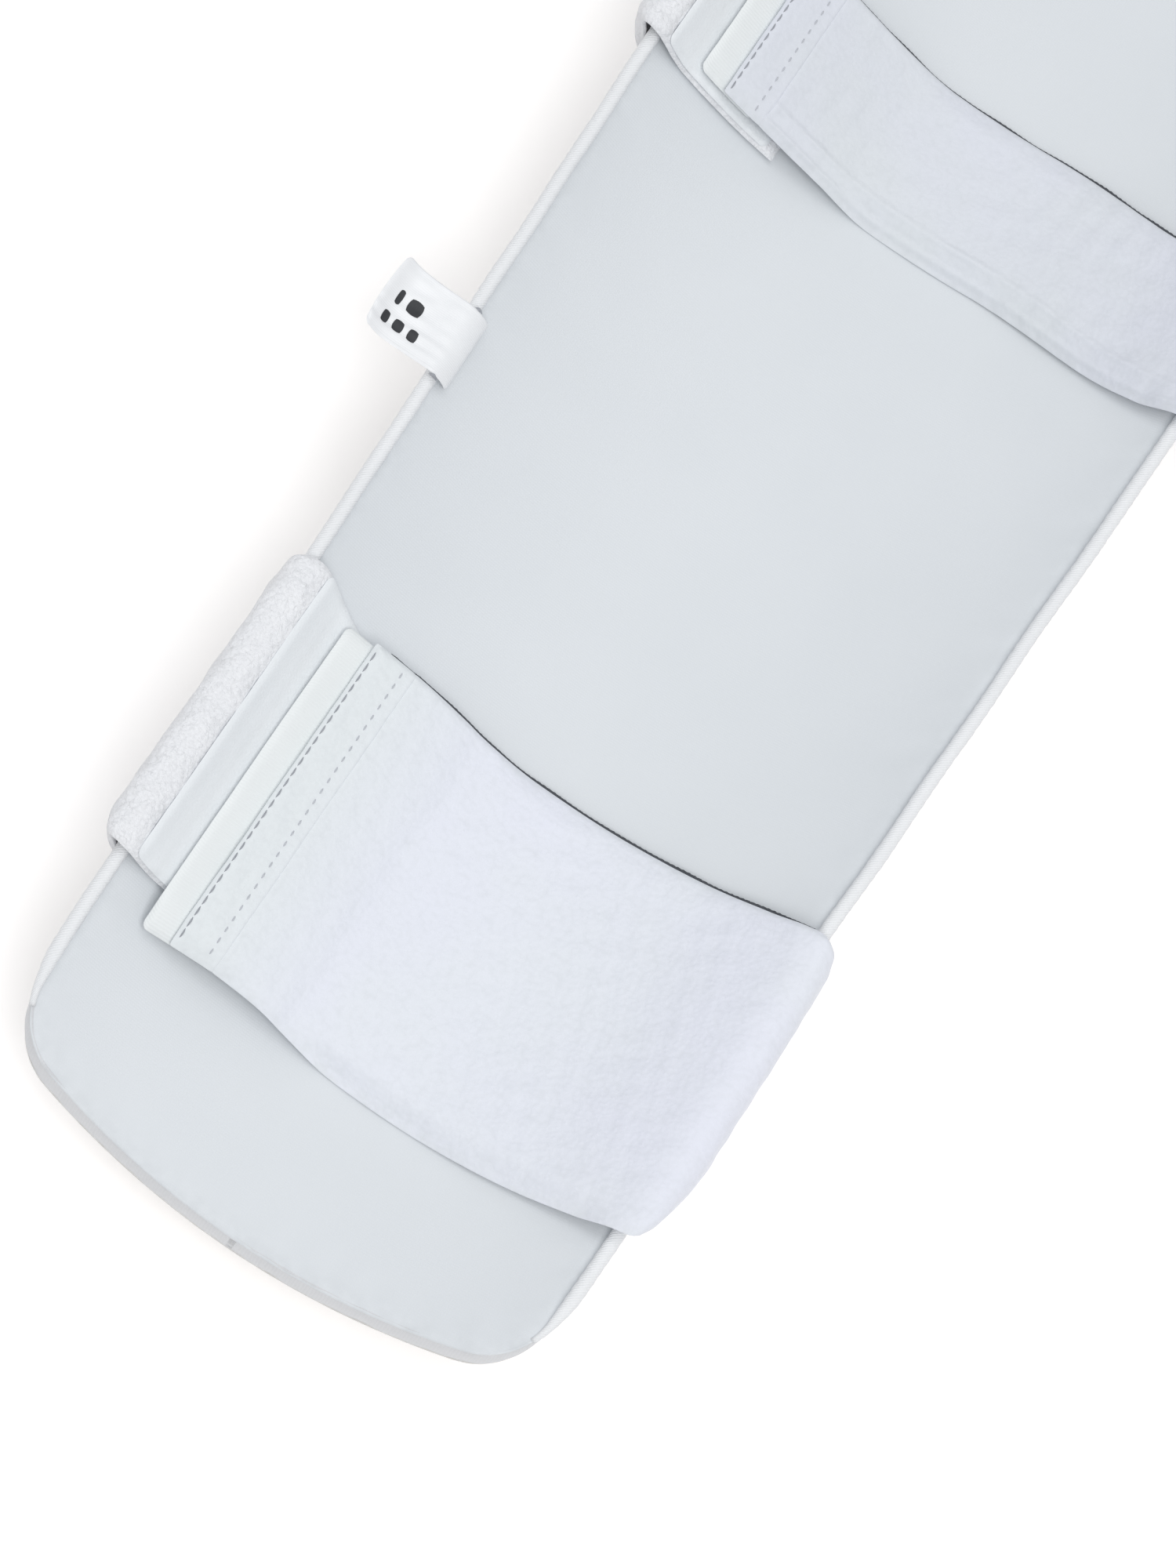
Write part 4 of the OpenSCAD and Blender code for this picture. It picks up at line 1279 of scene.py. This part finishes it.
def label_shadow_tacks(surface):
    """Short dark tacks at both sides of the label's root on the piping; painted shadow where the label meets
    the piping.
    """
    rows = []
    up = np.tile([0, 0, 1.0], (12, 1))
    for column in (1, -2):
        line = resampled(surface[7:12, column] + [0, -0.55 * np.sign(column), -0.6], 12)
        rows.append(stitch_row(line, up, pitch=2.4, length=2.2, radius=0.45, sink=0.0))
    return thread_rows("side_label_tacks", rows, MATERIALS["seam_and_shadow_thread"])


# ---- camera, light and floor ----

CAMERA_TARGET = (7.4, -86.3, 48.0)
CAMERA_DISTANCE = 1113.6
CAMERA_AZIMUTH = 1.25
CAMERA_ELEVATION = 71.46
CAMERA_ROLL = 33.76
CAMERA_LENS = 126.4
CAMERA_SENSOR = 36
WORLD_STRENGTH = 0.505
FLOOR_REACH = 3000.0


def looking(place, forward, roll=0.0):
    """World matrix of a camera or lamp; without roll, the top of its picture is towards the knee edge."""
    up = Vector((0, 1, 0))
    up = (up - forward * up.dot(forward)).normalized()
    right = forward.cross(up)
    screen_right = right * math.cos(roll) + up * math.sin(roll)
    screen_up = up * math.cos(roll) - right * math.sin(roll)
    turn = Matrix((screen_right, screen_up, -forward)).transposed()
    return Matrix.Translation(place) @ turn.to_4x4()


def softbox(name, place, size, power, tint):
    """A round area lamp that points at the object."""
    light = bpy.data.lights.new(name, "AREA")
    light.shape = "DISK"
    light.size = size
    light.energy = power
    light.color = tint
    new_object(name, light).matrix_world = looking(Vector(place), -Vector(place).normalized())


def studio():
    """Camera, three soft lamps, a pale world and a pale floor."""
    azimuth, elevation = math.radians(CAMERA_AZIMUTH), math.radians(CAMERA_ELEVATION)
    back = Vector((-math.sin(azimuth) * math.cos(elevation), -math.cos(azimuth) * math.cos(elevation),
                   math.sin(elevation)))
    data = bpy.data.cameras.new("camera")
    data.lens = CAMERA_LENS
    data.sensor_width = CAMERA_SENSOR
    data.clip_start = 0.01
    camera = new_object("camera", data)
    place = Vector(CAMERA_TARGET) * MM + back * CAMERA_DISTANCE * MM
    camera.matrix_world = looking(place, -back, math.radians(CAMERA_ROLL))
    bpy.context.scene.camera = camera

    softbox("key", (0.52, -0.80, 1.9), 1.1, 17.2, (1.0, 0.99, 0.98))
    softbox("overhead", (0, 0.2, 2.3), 1.6, 9.3, (1.0, 1.0, 1.0))
    softbox("fill", (-1.2, 0.6, 1.8), 1.6, 5.5, (0.95, 0.97, 1.0))
    world = bpy.data.worlds.new("studio")
    world.use_nodes = True
    background = world.node_tree.nodes["Background"]
    background.inputs["Color"].default_value = (0.97, 0.98, 1.0, 1)
    background.inputs["Strength"].default_value = WORLD_STRENGTH
    bpy.context.scene.world = world
    bpy.context.scene.view_settings.view_transform = "Standard"

    pale = bpy.data.materials.new("pale_floor")
    pale.use_nodes = True
    shader = pale.node_tree.nodes["Principled BSDF"]
    shader.inputs["Base Color"].default_value = (0.95, 0.935, 0.925, 1)
    shader.inputs["Roughness"].default_value = 0.9
    shader.inputs["Emission Color"].default_value = (1, 0.98, 0.97, 1)
    shader.inputs["Emission Strength"].default_value = 0.18
    corners = np.array([[-1, -1, 0], [1, -1, 0], [1, 1, 0], [-1, 1, 0]]) * FLOOR_REACH
    make_mesh("floor", corners, [[0, 1, 2, 3]], pale)


studio()
foam_slab("comfort_foam", "soft_foam", LEG_RADIUS + SKIN + 0.1, R_COMFORT - 0.1, 1.0, 31)
foam_slab("core_foam", "firm_foam", R_COMFORT + 0.1, R_CORE - 0.1, 0.0, 32, hollow=(15.5, 2.2))
back_lining()
front_facing()
edge_gusset()
side_piping(-1, "left_piping")
side_piping(1, "right_piping")
front_pads()
front_stitching()
strap("ankle", "strap", 100, ankle_sway, ankle_flare, ((23, 6.5, 6.5), (8, 3.2, 4.5)), ())
strap("knee", "knee_strap", 200, knee_sway, knee_flare, ((8, 3.4, 3.5), (8, 3.2, 3.5)),
      ((1.9, 0.75), (5.6, 0.75)))
side_label()

refinish("shin_plate", MATERIALS["plate"])
for place in ("centre", "inner_left", "inner_right", "outer_left", "outer_right"):
    refinish(place + "_cane", MATERIALS["cane"])
